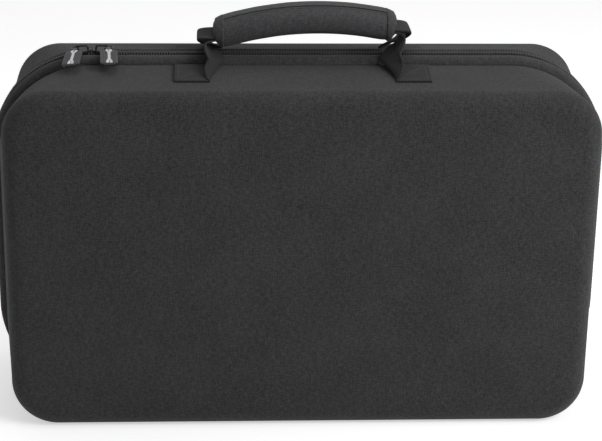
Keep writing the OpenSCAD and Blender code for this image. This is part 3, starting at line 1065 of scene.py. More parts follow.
@dataclass(frozen=True)
class CaseForm:
    """The case's driving sizes, the same as the solids'."""

    width: float = 450.0
    height: float = 268.5
    depth: float = 148.0
    wall: float = 4.5
    side_draft: float = 8.5
    top_draft: float = 6.7
    edge_corner: float = 67.0
    face_corner: float = 34.0
    face_edge: float = 14.0
    crown: float = 1.6
    band_w: float = 30.0
    band_rise: float = 6.0
    band_cloth: float = 1.6
    flange: float = 9.0
    coil_h: float = 2.6
    throat_gap: float = 0.6
    ribbon_past: float = 3.0
    hinge_len: float = 260.0
    air: float = 0.1
    corner_steps: int = 22
    side_steps: int = 16
    long_steps: int = 60
    least_corner: float = 4.0
    zip_foot: float = 2.0

    @property
    def edge_y(self) -> float:
        """Distance from the parting plane to a shell's edge."""
        return self.band_w / 2

    @property
    def face_y(self) -> float:
        """Distance from the parting plane to the rim of a face."""
        return self.depth / 2 - self.crown

    @property
    def wall_run(self) -> float:
        """Depth of the drafted wall."""
        return self.face_y - self.face_edge - self.edge_y

    @property
    def edge_w(self) -> float:
        """Width of a shell at its edge."""
        return self.width - 2 * self.band_rise

    @property
    def edge_top(self) -> float:
        """Height of a shell at its edge."""
        return self.height - self.band_rise

    @property
    def side_inset(self) -> float:
        """How far the side walls come in by the face."""
        return self.wall_run * math.tan(math.radians(self.side_draft))

    @property
    def top_inset(self) -> float:
        """How far the top wall comes down by the face."""
        return self.wall_run * math.tan(math.radians(self.top_draft))

    @property
    def throat_y(self) -> float:
        """Distance from the parting plane to the band's inner fold."""
        return self.edge_y - self.band_cloth - self.throat_gap

    @property
    def seam_in(self) -> float:
        """Distance from a shell's outside to the inside of its sewn flange."""
        return self.wall + 2 * self.air + self.band_cloth

    @property
    def ribbon_end(self) -> float:
        """Distance from a shell's edge to the end of its seam ribbon."""
        return self.flange + self.ribbon_past

    @property
    def hinge_end(self) -> float:
        """Half the length of the hinge with its clearance."""
        return self.hinge_len / 2 + self.air

    def outline(self, width: float, low: float, high: float, radius: float) -> Run:
        """A rounded outline, from the middle of the bottom leftwards, up and over the top.

        Args:
            width: Its width.
            low: Its bottom.
            high: Its top.
            radius: Its corner radius.

        Returns:
            The closed run.
        """
        places: list[np.ndarray] = []
        outs: list[np.ndarray] = []
        x, z0, z1 = width / 2 - radius, low + radius, high - radius
        side, top = self.side_steps, self.long_steps
        corners = ((-x, z0, 270, side), (-x, z1, 180, top), (x, z1, 90, side), (x, z0, 0, top + 1))
        for cx, cz, start, steps in corners:
            turn = np.radians(start - np.linspace(0, 90, self.corner_steps + 1))
            out = np.stack([np.cos(turn), np.sin(turn)], 1)
            places.append(np.array([cx, cz]) + radius * out)
            outs.append(out)
            along = {270: ((-x - radius, z0), (-x - radius, z1)), 180: ((-x, high), (x, high)),
                     90: ((x + radius, z1), (x + radius, z0)), 0: ((x, low), (-x, low))}[start]
            share = np.linspace(0, 1, steps + 2)[1:-1, None]
            places.append(np.array(along[0]) * (1 - share) + np.array(along[1]) * share)
            outs.append(np.repeat(out[-1:], steps, 0))
        return Run(np.concatenate(places), np.concatenate(outs))

    def wall_outline(self, share: float, inset: float) -> Run:
        """The wall's outline at a share of its run from the edge, set in by inset."""
        corner = self.edge_corner + share * (self.face_corner - self.edge_corner)
        return self.outline(
            self.edge_w - 2 * share * self.side_inset - 2 * inset,
            inset,
            self.edge_top - share * self.top_inset - inset,
            max(self.least_corner, corner - inset),
        )

    def wall_at(self, u: float, y: float) -> np.ndarray:
        """The points u outward from the wall's outside at a depth y on either side."""
        share = max(0.0, (abs(y) - self.edge_y) / self.wall_run)
        return self.wall_outline(share, 0).at(u, y)

    def zip_outline(self) -> Run:
        """The zip's outline, level with the coil's underside."""
        return self.outline(
            self.width - 2 * self.coil_h, self.coil_h + self.zip_foot, self.height - self.coil_h,
            self.edge_corner + self.band_rise - self.coil_h)


# Shells


@dataclass
class ClothShell:
    """A moulded half, covered in heathered cloth outside and lined inside."""

    form: CaseForm
    half: Half
    lip: float = 1.3
    face_insets: tuple[float, ...] = (104.0, 92.0, 78.0, 62.0, 48.0, 34.0, 22.0, 13.0, 6.0)
    lining_insets: tuple[float, ...] = (30.0, 64.0, 98.0)
    crown_run: float = 96.0
    crown_power: float = 2.2
    edge_steps: int = 12
    wall_steps: int = 13
    lip_steps: int = 3
    inner_wall_steps: int = 7
    inner_edge_steps: int = 6

    def rise(self, inset: float) -> float:
        """How far the face bows out at a distance in from its rim."""
        left = 1 - min(1.0, inset / self.crown_run)
        return self.form.crown * (1 - left ** self.crown_power)

    def stations(self) -> list[tuple[Run, float]]:
        """The rings from the middle of the face out, down the wall, over the lip and back up."""
        f = self.form
        turn = f.edge_y + f.wall_run
        inner = f.face_edge - f.wall
        rings: list[tuple[Run, float]] = []
        for inset in self.face_insets:
            rings.append((f.wall_outline(1, f.face_edge + inset), f.face_y + self.rise(inset)))
        for a in np.radians(np.linspace(90, 0, self.edge_steps + 1)):
            inset, deep = f.face_edge * (1 - math.cos(a)), f.face_edge * math.sin(a)
            rings.append((f.wall_outline(1, inset), turn + deep))
        for share in np.linspace(1, 0, self.wall_steps + 1)[1:-1]:
            rings.append((f.wall_outline(share, 0), f.edge_y + share * f.wall_run))
        for a in np.radians(np.linspace(0, 90, self.lip_steps + 1)):
            inset, deep = self.lip * (1 - math.cos(a)), self.lip * (1 - math.sin(a))
            rings.append((f.wall_outline(0, inset), f.edge_y + deep))
        rings.append((f.wall_outline(0, f.wall), f.edge_y))
        for share in np.linspace(0, 1, self.inner_wall_steps + 1)[1:-1]:
            rings.append((f.wall_outline(share, f.wall), f.edge_y + share * f.wall_run))
        for a in np.radians(np.linspace(0, 90, self.inner_edge_steps + 1)):
            inset, deep = f.wall + inner * (1 - math.cos(a)), inner * math.sin(a)
            rings.append((f.wall_outline(1, inset), turn + deep))
        for inset in self.lining_insets:
            deep = f.face_y - f.wall + self.rise(inset)
            rings.append((f.wall_outline(1, f.face_edge + inset), deep))
        return rings

    def build(self, finishes: Finishes) -> bpy.types.Object:
        """Builds the shell and dresses it.

        Args:
            finishes: The case's finishes.

        Returns:
            The shell.
        """
        stations = self.stations()
        rings = np.stack([run.at(0.0, self.half.value * y) for run, y in stations])
        base = self.form.wall_outline(1, self.form.face_edge)
        middle = len(stations[0][0].place) // 2
        done = lengths(rings[:, middle])
        rim = len(self.face_insets)
        gone = (done - done[rim])[:, None, None]
        cloth = base.place[None] + base.out[None] * gone
        for k in range(rim):
            cloth[k] = stations[k][0].place
        cloth = np.concatenate([cloth, cloth[:, :1]], 1)
        word = self.half.word
        shell = lofted(f"{word}_shell_cloth", rings, cloth, capped=True)
        dressed(shell, finishes.shell, self.half.body, [f"{word}_shell"])
        shell.data.materials.append(finishes.lining)
        lining_from = rim + (self.edge_steps + 1) + (self.wall_steps - 1) + (self.lip_steps + 1)
        per = rings.shape[1]
        for face in shell.data.polygons:
            if face.index // per >= lining_from and face.index < (len(stations) - 1) * per:
                face.material_index = 1
        shell.data.polygons[-1].material_index = 1
        return shell


# Zip


def softened(section: list[tuple[float, ...]], rounds: int = 2) -> np.ndarray:
    """Cuts a closed section's corners, again and again."""
    points = np.array(section, float)
    for _ in range(rounds):
        ahead = np.roll(points, -1, 0)
        cut = np.stack([0.75 * points + 0.25 * ahead, 0.25 * points + 0.75 * ahead], 1)
        points = cut.reshape(-1, points.shape[1])
    return points


@dataclass
class ZipBand:
    """The folded cloth band between a shell and the zip, with its top-stitching."""

    form: CaseForm
    half: Half
    hem_y: float = 6.6
    stitch_line: tuple[float, float, float] = (0.94, 2.0, 2.9)

    def section(self) -> np.ndarray:
        """The band's section: share of the way to the zip's outline, outward, depth."""
        f = self.form
        flange_in = f.wall + f.air
        flange_y = f.edge_y + f.flange
        throat = f.throat_y
        return softened([
            (0, -flange_in - f.band_cloth, flange_y), (0, -flange_in - f.band_cloth, f.edge_y),
            (0, -flange_in - f.band_cloth, throat),
            (0, -1.6, throat), (0.5, -0.9, throat - 0.9), (0.85, -0.1, self.hem_y + 3.6),
            (1, 0.1, self.hem_y + 0.4), (1, 1.2, self.hem_y), (1, 2.1, self.hem_y + 1.2),
            (0.92, 2.2, self.hem_y + 3.4), (0.55, 1.9, throat - 0.2), (0.12, 0.9, throat + 1.2),
            (0, -1.2, throat + 1.5), (0, -flange_in, throat + 1.5), (0, -flange_in, f.edge_y),
            (0, -flange_in, flange_y)])

    def line(self, share: float, u: float, y: float) -> tuple[np.ndarray, np.ndarray]:
        """A line along the band, and the outward directions on it."""
        edge, zipped = self.runs()
        deep = self.half.value * y
        points = (1 - share) * edge.at(u, deep) + share * zipped.at(u, deep)
        out = np.stack([zipped.out[:, 0], np.zeros(len(zipped.out)), zipped.out[:, 1]], 1)
        return points, out

    def runs(self) -> tuple[Run, Run]:
        """The shell's edge and the zip's outline, open along the hinge."""
        end = self.form.hinge_end
        return self.form.wall_outline(0, 0).opened(end), self.form.zip_outline().opened(end)

    def build(self, finishes: Finishes) -> list[bpy.types.Object]:
        """Builds the band and its stitches.

        Args:
            finishes: The case's finishes.

        Returns:
            The pieces.
        """
        f = self.form
        _, zipped = self.runs()
        section = self.section()
        share = section[:, 0][:, None, None]
        edge = f.wall_outline(0, 0)
        walls = [f.wall_outline(max(0.0, (y - f.edge_y) / f.wall_run), 0).opened(f.hinge_end, edge)
                 for _, _, y in section]
        low = np.stack([wall.at(u, self.half.value * y) for wall, (_, u, y) in zip(walls, section)])
        high = np.stack([zipped.at(u, self.half.value * y) for _, u, y in section])
        rings = ((1 - share) * low + share * high).transpose(1, 0, 2)
        across = lengths(section[:, 1:], closed=True)
        along = lengths(rings[:, len(section) // 2])
        word = self.half.word
        band = lofted(f"{word}_zip_band", rings, cloth_grid(along, across), capped=True)
        dressed(band, finishes.band, self.half.body, [f"{word}_band"])
        seam = Seam(pitch=3.2, stitch=2.3, width=0.5, height=0.45)
        share, proud, from_hem = self.stitch_line
        seam.run(*self.line(share, proud, self.hem_y + from_hem))
        stitches = dressed(
            seam.build(f"{word}_band_stitches"), finishes.thread, self.half.body)
        return [band, stitches]


@dataclass
class ZipHalf:
    """One tape of the zip with its row of coil turns."""

    form: CaseForm
    half: Half
    tape_under: float = 3.2
    tape_t: float = 0.7
    pitch: float = 1.95
    wire: float = 0.46
    reach: float = 3.45
    end_past: float = 6.2
    head: float = 1.45
    sides: int = 6
    hem_y: float = 6.6
    near: float = 0.4

    def tape(self, finishes: Finishes) -> bpy.types.Object:
        """Builds the woven tape.

        Args:
            finishes: The case's finishes.

        Returns:
            The tape.
        """
        run = self.form.zip_outline().opened(self.form.hinge_end)
        t, near = self.tape_t, self.near
        far = self.hem_y + self.tape_under
        section = softened([
            (-t - 0.9, far), (-t - 0.05, self.hem_y + 0.8), (-t - 0.05, near),
            (-0.05, near), (-0.05, self.hem_y + 0.8), (-0.9, far)], 1)
        rings = np.stack([run.at(u, self.half.value * y) for u, y in section], 1)
        cloth = cloth_grid(lengths(rings[:, 0]), lengths(section, closed=True))
        word = self.half.word
        tape = lofted(f"{word}_zip_tape", rings, cloth, capped=True)
        return dressed(tape, finishes.tape, self.half.body, [f"{word}_tape"])

    def coil(self, finishes: Finishes) -> bpy.types.Object:
        """Builds the coil's turns, which lie between those of the other half.

        Args:
            finishes: The case's finishes.

        Returns:
            The coil.
        """
        f, side = self.form, self.half.value
        run = f.zip_outline().opened(f.hinge_len / 2 + self.end_past)
        place, out, along = run.sampled(f.coil_h / 2, self.pitch)
        if self.half is Half.BACK:
            place = (place[:-1] + place[1:]) / 2
            out, along = out[:-1], along[:-1]
        loop = [(self.reach, 0.55), (self.reach - 0.1, 1.7), (2.5, 2.15), (0.9, 2.12), (-0.3, 1.95),
                (-0.62, 1.35), (-0.3, 0.75), (0.9, 0.5), (2.4, 0.42)]
        centre = np.array([(0.0, y, u) for y, u in loop])
        centre[:, 0] = np.array([0.32, 0.36, 0.3, 0.1, 0.0, 0.0, 0.0, -0.12, -0.3])
        sides, points = self.sides, []
        for k, c in enumerate(centre):
            ahead = centre[(k + 1) % len(centre)] - centre[k - 1]
            ahead /= np.linalg.norm(ahead)
            one = np.array([1.0, 0.0, 0.0]) - ahead * ahead[0]
            one /= np.linalg.norm(one)
            two = np.cross(ahead, one)
            wide = self.wire * (self.head if 4 <= k <= 6 else 1.0)
            points += [c + one * wide * math.cos(t) + two * self.wire * math.sin(t) for t in (
                2 * math.pi * s / sides for s in range(sides))]
        n = len(centre)
        faces = []
        for k in range(n):
            here, there = k * sides, ((k + 1) % n) * sides
            faces += [[here + s, here + (s + 1) % sides, there + (s + 1) % sides, there + s]
                      for s in range(sides)]
        zero = np.zeros(len(place))
        places = np.stack([place[:, 0], zero, place[:, 1]], 1)
        axes = np.stack([
            np.stack([along[:, 0], zero, along[:, 1]], 1),
            np.tile([0.0, float(side), 0.0], (len(place), 1)),
            np.stack([out[:, 0], zero, out[:, 1]], 1)], 1)
        word = self.half.word
        coil = repeated(f"{word}_zip_coil", np.array(points), faces, places, axes)
        return dressed(coil, finishes.coil, self.half.body, [f"{word}_coil"])

    def build(self, finishes: Finishes) -> list[bpy.types.Object]:
        """Builds the tape and the coil."""
        return [self.tape(finishes), self.coil(finishes)]


@dataclass
class SeamRibbon:
    """The ribbon that binds the inner seam of a shell."""

    form: CaseForm
    half: Half
    thick: float = 1.0

    def build(self, finishes: Finishes) -> bpy.types.Object:
        """Builds the ribbon.

        Args:
            finishes: The case's finishes.

        Returns:
            The ribbon.
        """
        f = self.form
        level, near, far = f.seam_in, f.throat_y, f.edge_y + f.ribbon_end
        inside = level + self.thick
        section = softened([
            (-inside, far), (-inside, f.edge_y), (-inside, near),
            (-level, near), (-level, f.edge_y), (-level, far)], 1)
        rings = np.stack([f.wall_at(u, self.half.value * y) for u, y in section], 1)
        cloth = cloth_grid(lengths(rings[:, 0], closed=True), lengths(section, closed=True))
        word = self.half.word
        ribbon = lofted(f"{word}_seam_ribbon", rings, cloth, round_run=True)
        return dressed(ribbon, finishes.ribbon, self.half.body, [f"{word}_ribbon"])


@dataclass
class HingeCloth:
    """The strip of cloth that joins the shells along the bottom."""

    form: CaseForm
    low: float = 1.4
    flat_half: float = 9.0
    fold_out: float = 1.5
    steps: int = 40
    bend_half: float = 0.011

    def build(self, finishes: Finishes) -> bpy.types.Object:
        """Builds the strip.

        Args:
            finishes: The case's finishes.

        Returns:
            The strip.
        """
        f = self.form
        fold, bottom = f.throat_y + self.fold_out, f.throat_y + f.throat_gap
        far = f.edge_y + f.flange
        high = f.wall + f.air
        upper = [(-far, high), (-fold, high), (-bottom, self.low)]
        upper += [(y, self.low) for y in np.linspace(-self.flat_half, self.flat_half, 9)]
        upper += [(bottom, self.low), (fold, high), (far, high)]
        line = np.array(upper)
        back = np.stack([line[::-1, 0], line[::-1, 1] + f.band_cloth], 1)
        section = softened([tuple(p) for p in np.concatenate([line, back])], 1)
        xs = np.linspace(-f.hinge_len / 2, f.hinge_len / 2, self.steps + 1)
        strip = extruded("hinge_cloth", section, xs)
        dressed(strip, finishes.band, None, ["hinge_strip"])
        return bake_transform(strip)


class ZipMetal:
    """The sliders, links, pull tabs and end stops, which are the solids themselves."""

    def dress(self, frame: dict[str, Any], finishes: Finishes) -> None:
        """Repaints the metal nodes.

        Args:
            frame: The loaded frame.
            finishes: The case's finishes.
        """
        for side in ("left", "right"):
            repainted(frame, f"slider_{side}", finishes.lacquer)
            repainted(frame, f"zip_stop_{side}", finishes.lacquer)
            repainted(frame, f"link_{side}", finishes.wire)
            finish = replace(finishes.pull, name=f"pull_metal_{side}")
            repainted(frame, f"pull_{side}", finish.build(frame["nodes"][f"pull_{side}"]))


# Handle


@dataclass
class Handle:
    """The two webbing straps and the padded wrap that holds them."""

    form: CaseForm
    width: float = 30.0
    thick: float = 1.6
    anchor_x: float = 91.0
    anchor_len: float = 25.0
    anchor_y: float = 1.8
    grip_x: float = 2.5
    grip_len: float = 130.0
    grip_w: float = 36.0
    grip_h: float = 24.0
    grip_top: float = 293.4
    sag: float = 9.2
    tilt: float = 2.9
    hem_w: float = 6.5
    bulges: dict[str, float] = field(default_factory=lambda: {"front": 18.0, "back": 30.0})
    run_in: float = 12.0
    lift: float = 4.0
    twist: float = 0.5
    twist_end: float = 0.5
    layer: float = 0.95
    air: float = 0.1
    mouth_out: float = 0.6
    rounding: float = 0.5
    swelling: float = 1.1
    box_in: float = 2.6
    box_end: float = 1.0
    end_span: float = 0.14
    squareness: float = 2.3
    pad_in: float = 1.4
    seam_share: float = 0.18
    around: int = 48

    def mid(self, x: float) -> np.ndarray:
        """The middle of the wrap at x."""
        t = (x - self.grip_x) / (self.grip_len / 2)
        return np.array([x, 0.0, self.grip_top - self.sag * t * t + self.tilt * t])

    def foot_y(self) -> float:
        """The depth of the middle of a sewn end."""
        return self.form.edge_y + self.anchor_y + self.width / 2

    def foot_z(self) -> float:
        """The height of the middle of a sewn end."""
        f = self.form
        lean = math.radians(f.top_draft)
        wall = f.edge_top - (self.foot_y() - f.edge_y) * math.tan(lean)
        return wall + (self.thick / 2 + self.air) / math.cos(lean)

    def bend(
        self, side: int, layer: float, bulge: float, steps: int = 26,
    ) -> list[tuple[np.ndarray, np.ndarray]]:
        """One free bend, from the wall to the wrap.

        Args:
            side: -1 on the left, 1 on the right.
            layer: The strap's height in the wrap over the middle.
            bulge: How far the strap bows out.
            steps: The number of steps.

        Returns:
            Places and width directions, for the front strap.
        """
        foot = np.array([side * (self.anchor_x - self.anchor_len), -self.foot_y(), self.foot_z()])
        mouth = self.mid(self.grip_x + side * (self.grip_len / 2 + self.mouth_out)) + [0, 0, layer]
        p = [foot, foot + [-side * self.run_in, 0, self.lift], mouth + [side * bulge, 0, 0], mouth]
        lean = math.tan(math.radians(self.form.top_draft))
        out = []
        for t in np.linspace(0, 1, steps + 1):
            near, far = (1 - t) ** 3 * p[0] + 3 * t * (1 - t) ** 2 * p[1], t ** 3 * p[3]
            spot = near + 3 * t * t * (1 - t) * p[2] + far
            turned = self.twist * math.sin(math.pi * min(1.0, t / self.twist_end))
            wide = np.array([-side * turned, 1.0, (1 - t) * lean])
            out.append((spot, wide / np.linalg.norm(wide)))
        return out

    def strap(self, half: Half, layer: float) -> tuple[np.ndarray, np.ndarray]:
        """The strap's places and width directions from end to end.

        Args:
            half: The half that it is sewn to.
            layer: Its height in the wrap over the middle.

        Returns:
            The places and the width directions.
        """
        bulge = self.bulges[half.word]
        lean = math.tan(math.radians(self.form.top_draft))
        flat = np.array([0, 1, lean]) / math.hypot(1, lean)
        foot = np.array([0, -self.foot_y(), self.foot_z()])
        outer = [(foot + [-x, 0, 0], flat) for x in np.linspace(
            self.anchor_x, self.anchor_x - self.anchor_len, 9)[:-1]]
        inner = [(self.mid(x) + [0, 0, layer], np.array([0.0, 1.0, 0.0])) for x in np.linspace(
            self.grip_x - self.grip_len / 2, self.grip_x + self.grip_len / 2, 25)]
        right_end = [(p * [-1, 1, 1], w) for p, w in outer[::-1]]
        left, right = self.bend(-1, layer, bulge), self.bend(1, layer, bulge)[::-1]
        whole = outer + left + inner + right + right_end
        places = np.array([p for p, _ in whole])
        wides = np.array([w for _, w in whole])
        if half is Half.BACK:
            places[:, 1] *= -1
            wides = wides * [-1, 1, -1]
        return places, wides

    def strap_frame(self, half: Half, layer: float) -> tuple[np.ndarray, np.ndarray, np.ndarray]:
        """The strap's places, width directions and face directions."""
        places, wides = self.strap(half, layer)
        up = unit(np.cross(unit(np.gradient(places, axis=0)), wides))
        return places, wides, up * np.sign(up[0, 2])

    def straps(self, finishes: Finishes) -> list[bpy.types.Object]:
        """Builds both straps with their box stitches.

        Args:
            finishes: The case's finishes.

        Returns:
            The pieces.
        """
        made = []
        h, t = self.width / 2, self.thick / 2
        flat, middle = h - self.rounding, t * self.swelling
        section = softened([(-h, 0), (-flat, t), (0, middle), (flat, t), (h, 0), (flat, -t),
                            (0, -middle), (-flat, -t)], 1)
        for half in Half:
            places, wides, up = self.strap_frame(half, half.value * self.layer)
            wide, high = section[None, :, :1], section[None, :, 1:]
            rings = places[:, None] + wides[:, None] * wide + up[:, None] * high
            cloth = cloth_grid(lengths(places), lengths(section, closed=True))
            word = half.word
            strap = lofted(f"{word}_strap_webbing", rings, cloth, capped=True)
            made.append(dressed(strap, finishes.webbing, half.body, [f"{word}_strap"]))
            seam = Seam(pitch=2.7, stitch=2.1, width=0.75, height=0.6)
            for side in (-1, 1):
                self.box_stitch(seam, half, side)
            stitches = seam.build(f"{word}_strap_stitches")
            made.append(dressed(stitches, finishes.thread, half.body))
        return made

    def box_stitch(self, seam: Seam, half: Half, side: int) -> None:
        """Adds a crossed box of stitches on a sewn end.

        Args:
            seam: The seam that takes the stitches.
            half: The strap's half.
            side: -1 on the left, 1 on the right.
        """
        lean = math.radians(self.form.top_draft)
        wide = np.array([0, math.cos(lean), math.sin(lean)])
        up = np.array([0, -math.sin(lean), math.cos(lean)])
        foot = np.array([0, -self.foot_y(), self.foot_z()]) + up * (self.thick / 2 + 0.05)
        x0 = side * (self.anchor_x - self.box_in)
        x1 = side * (self.anchor_x - self.anchor_len + self.box_end)
        v = self.width / 2 - self.box_in
        corners = [(x0, -v), (x0, v), (x1, v), (x1, -v)]
        lines = [(corners[k], corners[(k + 1) % 4]) for k in range(4)] + [
            (corners[0], corners[2]), (corners[1], corners[3])]
        for a, b in lines:
            share = np.linspace(0, 1, 12)[:, None]
            flat = np.array(a) * (1 - share) + np.array(b) * share
            line = foot + np.outer(flat[:, 0], [1, 0, 0]) + np.outer(flat[:, 1], wide)
            out = np.repeat(up[None], 12, 0)
            if half is Half.BACK:
                line, out = line * [1, -1, 1], out * [1, -1, 1]
            seam.run(line, out)

    def ring(self, x: float, grow: float = 0.0, turns: int = 40) -> np.ndarray:
        """A ring of the wrap's section at x, grown outward."""
        half = self.grip_len / 2
        t = (x - self.grip_x) / half
        e = max(0.0, (abs(t) - (1 - self.end_span)) / self.end_span)
        a = self.grip_w / 2 * (1 - 0.05 * e * e) + grow
        b = self.grip_h / 2 * (1 - 0.18 * e * e) + grow
        q = np.linspace(0, 2 * math.pi, turns, endpoint=False)
        lean = math.atan(2 * (x - self.grip_x) * self.sag / half ** 2 - self.tilt / half)
        power = 2 / self.squareness
        y = -a * np.sign(np.sin(q)) * np.abs(np.sin(q)) ** power
        r = b * np.sign(np.cos(q)) * np.abs(np.cos(q)) ** power
        return self.mid(x) + np.stack([r * math.sin(lean), y, r * math.cos(lean)], 1)

    def pad(self, finishes: Finishes) -> bpy.types.Object:
        """Builds the padded wrap by simulation: it swells between its bound ends and its top seam.

        Args:
            finishes: The case's finishes.

        Returns:
            The wrap.
        """
        half = self.grip_len / 2
        xs = self.grip_x + half * np.sin(np.linspace(-math.pi / 2, math.pi / 2, 33))
        rings = np.stack([self.ring(x, -self.pad_in) for x in xs])
        across = lengths(rings[len(xs) // 2], closed=True)
        pad = lofted("grip_pad", rings, cloth_grid(xs, across), capped=True)
        swell(pad, voxel=3.6, pressure=3.2, cap=3.2, held=self.held)
        wrapped(pad, self.cloth_place)
        dressed(pad, finishes.grip, "front_half", ["grip_wrap"])
        return pad

    def held(self, p: np.ndarray) -> np.ndarray:
        """How firmly the hems and the top seam hold the wrap's points, from 0 to 1."""
        half = self.grip_len / 2
        near_end = np.clip((np.abs(p[:, 0] - self.grip_x) - (half - self.hem_w - 1.5)) / 1.5, 0, 1)
        seam_y = -self.grip_w * self.seam_share
        top = p[:, 2] > np.array([self.mid(x)[2] for x in p[:, 0]])
        near_seam = np.clip(1 - np.abs(p[:, 1] - seam_y) / 2.5, 0, 1) * top
        return np.maximum(near_end, near_seam)

    def cloth_place(self, p: np.ndarray) -> np.ndarray:
        """The place on the wrap's cloth of each point, along and round."""
        mids = np.array([self.mid(x)[2] for x in p[:, 0]])
        turn = np.arctan2(-p[:, 1], p[:, 2] - mids)
        return np.stack([p[:, 0], turn * (self.grip_w + self.grip_h) / 4], 1)

    def surface_line(
        self, pad: bpy.types.Object, xs: np.ndarray, turn: np.ndarray, lift: float,
    ) -> tuple[np.ndarray, np.ndarray]:
        """A line on the simulated wrap, at turns from the top towards the front.

        Args:
            pad: The wrap.
            xs: The places along it.
            turn: The turn from the top at each, in radians.
            lift: How far over the surface it lies.

        Returns:
            The line and its outward directions.
        """
        tree = BVHTree.FromObject(pad, bpy.context.evaluated_depsgraph_get())
        line, out = [], []
        for x, q in zip(xs, turn):
            middle = self.mid(x)
            away = np.array([0.0, -math.sin(q), math.cos(q)])
            start = (middle + away * 40) * MM
            hit = tree.ray_cast(Vector(start), Vector(-away), 0.06)
            spot = np.array(hit[0]) / MM if hit[0] is not None else middle + away * self.grip_h / 2
            line.append(spot + away * lift)
            out.append(away)
        return np.array(line), np.array(out)

    def hems(self, pad: bpy.types.Object, finishes: Finishes) -> list[bpy.types.Object]:
        """Builds the bound ends and the seams of the wrap.

        Args:
            pad: The wrap.
            finishes: The case's finishes.

        Returns:
            The pieces.
        """
        made = []
        half = self.grip_len / 2
        turns = np.linspace(0, 2 * math.pi, self.around + 1)
        seam = Seam(pitch=2.6, stitch=1.9, width=0.5, height=0.5)
        section = [(0.0, 0.5), (0.6, 1.05), (self.hem_w * 0.5, 1.15), (self.hem_w - 0.6, 1.05),
                   (self.hem_w, 0.25), (self.hem_w, -0.4), (0.0, -0.4)]
        reach = half - 0.8
        for word, side in (("left", -1), ("right", 1)):
            end = self.grip_x + side * half
            rings = []
            for inset, lift in section:
                x = min(max(end - side * inset, self.grip_x - reach), self.grip_x + reach)
                ring, _ = self.surface_line(pad, np.full(self.around, x), turns[:-1], lift)
                ring[:, 0] = end - side * inset
                rings.append(ring)
            grid = np.stack(rings)
            across = lengths(grid[2], closed=True)
            along = np.array([inset for inset, _ in section] + [0.0])
            hem = lofted(f"grip_hem_{word}", grid, cloth_grid(along, across), round_run=True)
            made.append(dressed(hem, finishes.hem, "front_half", [f"hem_{word}"]))
            x = end - side * (self.hem_w - 1.3)
            seam.run(*self.surface_line(pad, np.full(len(turns), x), turns, 1.15))
        span = half - self.hem_w
        xs = np.linspace(self.grip_x - span, self.grip_x + span, 60)
        edge, out = self.surface_line(pad, xs, np.full(len(xs), 0.62), 0.25)
        seam.run(edge - np.array([0.0, 1.6, 0.0]), out)
        stitches = seam.build("grip_stitches")
        made.append(dressed(stitches, finishes.thread, "front_half"))
        made.append(self.flap(pad, finishes))
        return made

    def flap(self, pad: bpy.types.Object, finishes: Finishes) -> bpy.types.Object:
        """Builds the flap that closes the wrap, from the back over the top to its front edge.

        Args:
            pad: The wrap.
            finishes: The case's finishes.

        Returns:
            The flap.
        """
        half = self.grip_len / 2 - self.hem_w * 0.6
        xs = np.linspace(self.grip_x - half, self.grip_x + half, 50)
        turns = np.linspace(0.5, -1.5, 14)
        thick, sunk, tapered = 0.95, 0.5, 3
        top, low = [], []
        for k, turn in enumerate(turns):
            line, _ = self.surface_line(pad, xs, np.full(len(xs), turn), 0.0)
            away = np.array([0.0, -math.sin(turn), math.cos(turn)])
            left = len(turns) - 1 - k
            top.append(line + away * (thick if left >= tapered else thick * left / tapered + 0.1))
            low.append(line - away * sunk)
        rings = np.stack(top + low[::-1], 1)
        across = lengths(rings[len(xs) // 2], closed=True)
        flap = lofted("grip_flap", rings, cloth_grid(xs, across), capped=True, sharp=50.0)
        return dressed(flap, finishes.grip, "front_half")

    def build(self, finishes: Finishes) -> list[bpy.types.Object]:
        """Builds the straps, the wrap and its hems.

        Args:
            finishes: The case's finishes.

        Returns:
            The pieces.
        """
        made = self.straps(finishes)
        pad = self.pad(finishes)
        return made + [pad] + self.hems(pad, finishes)


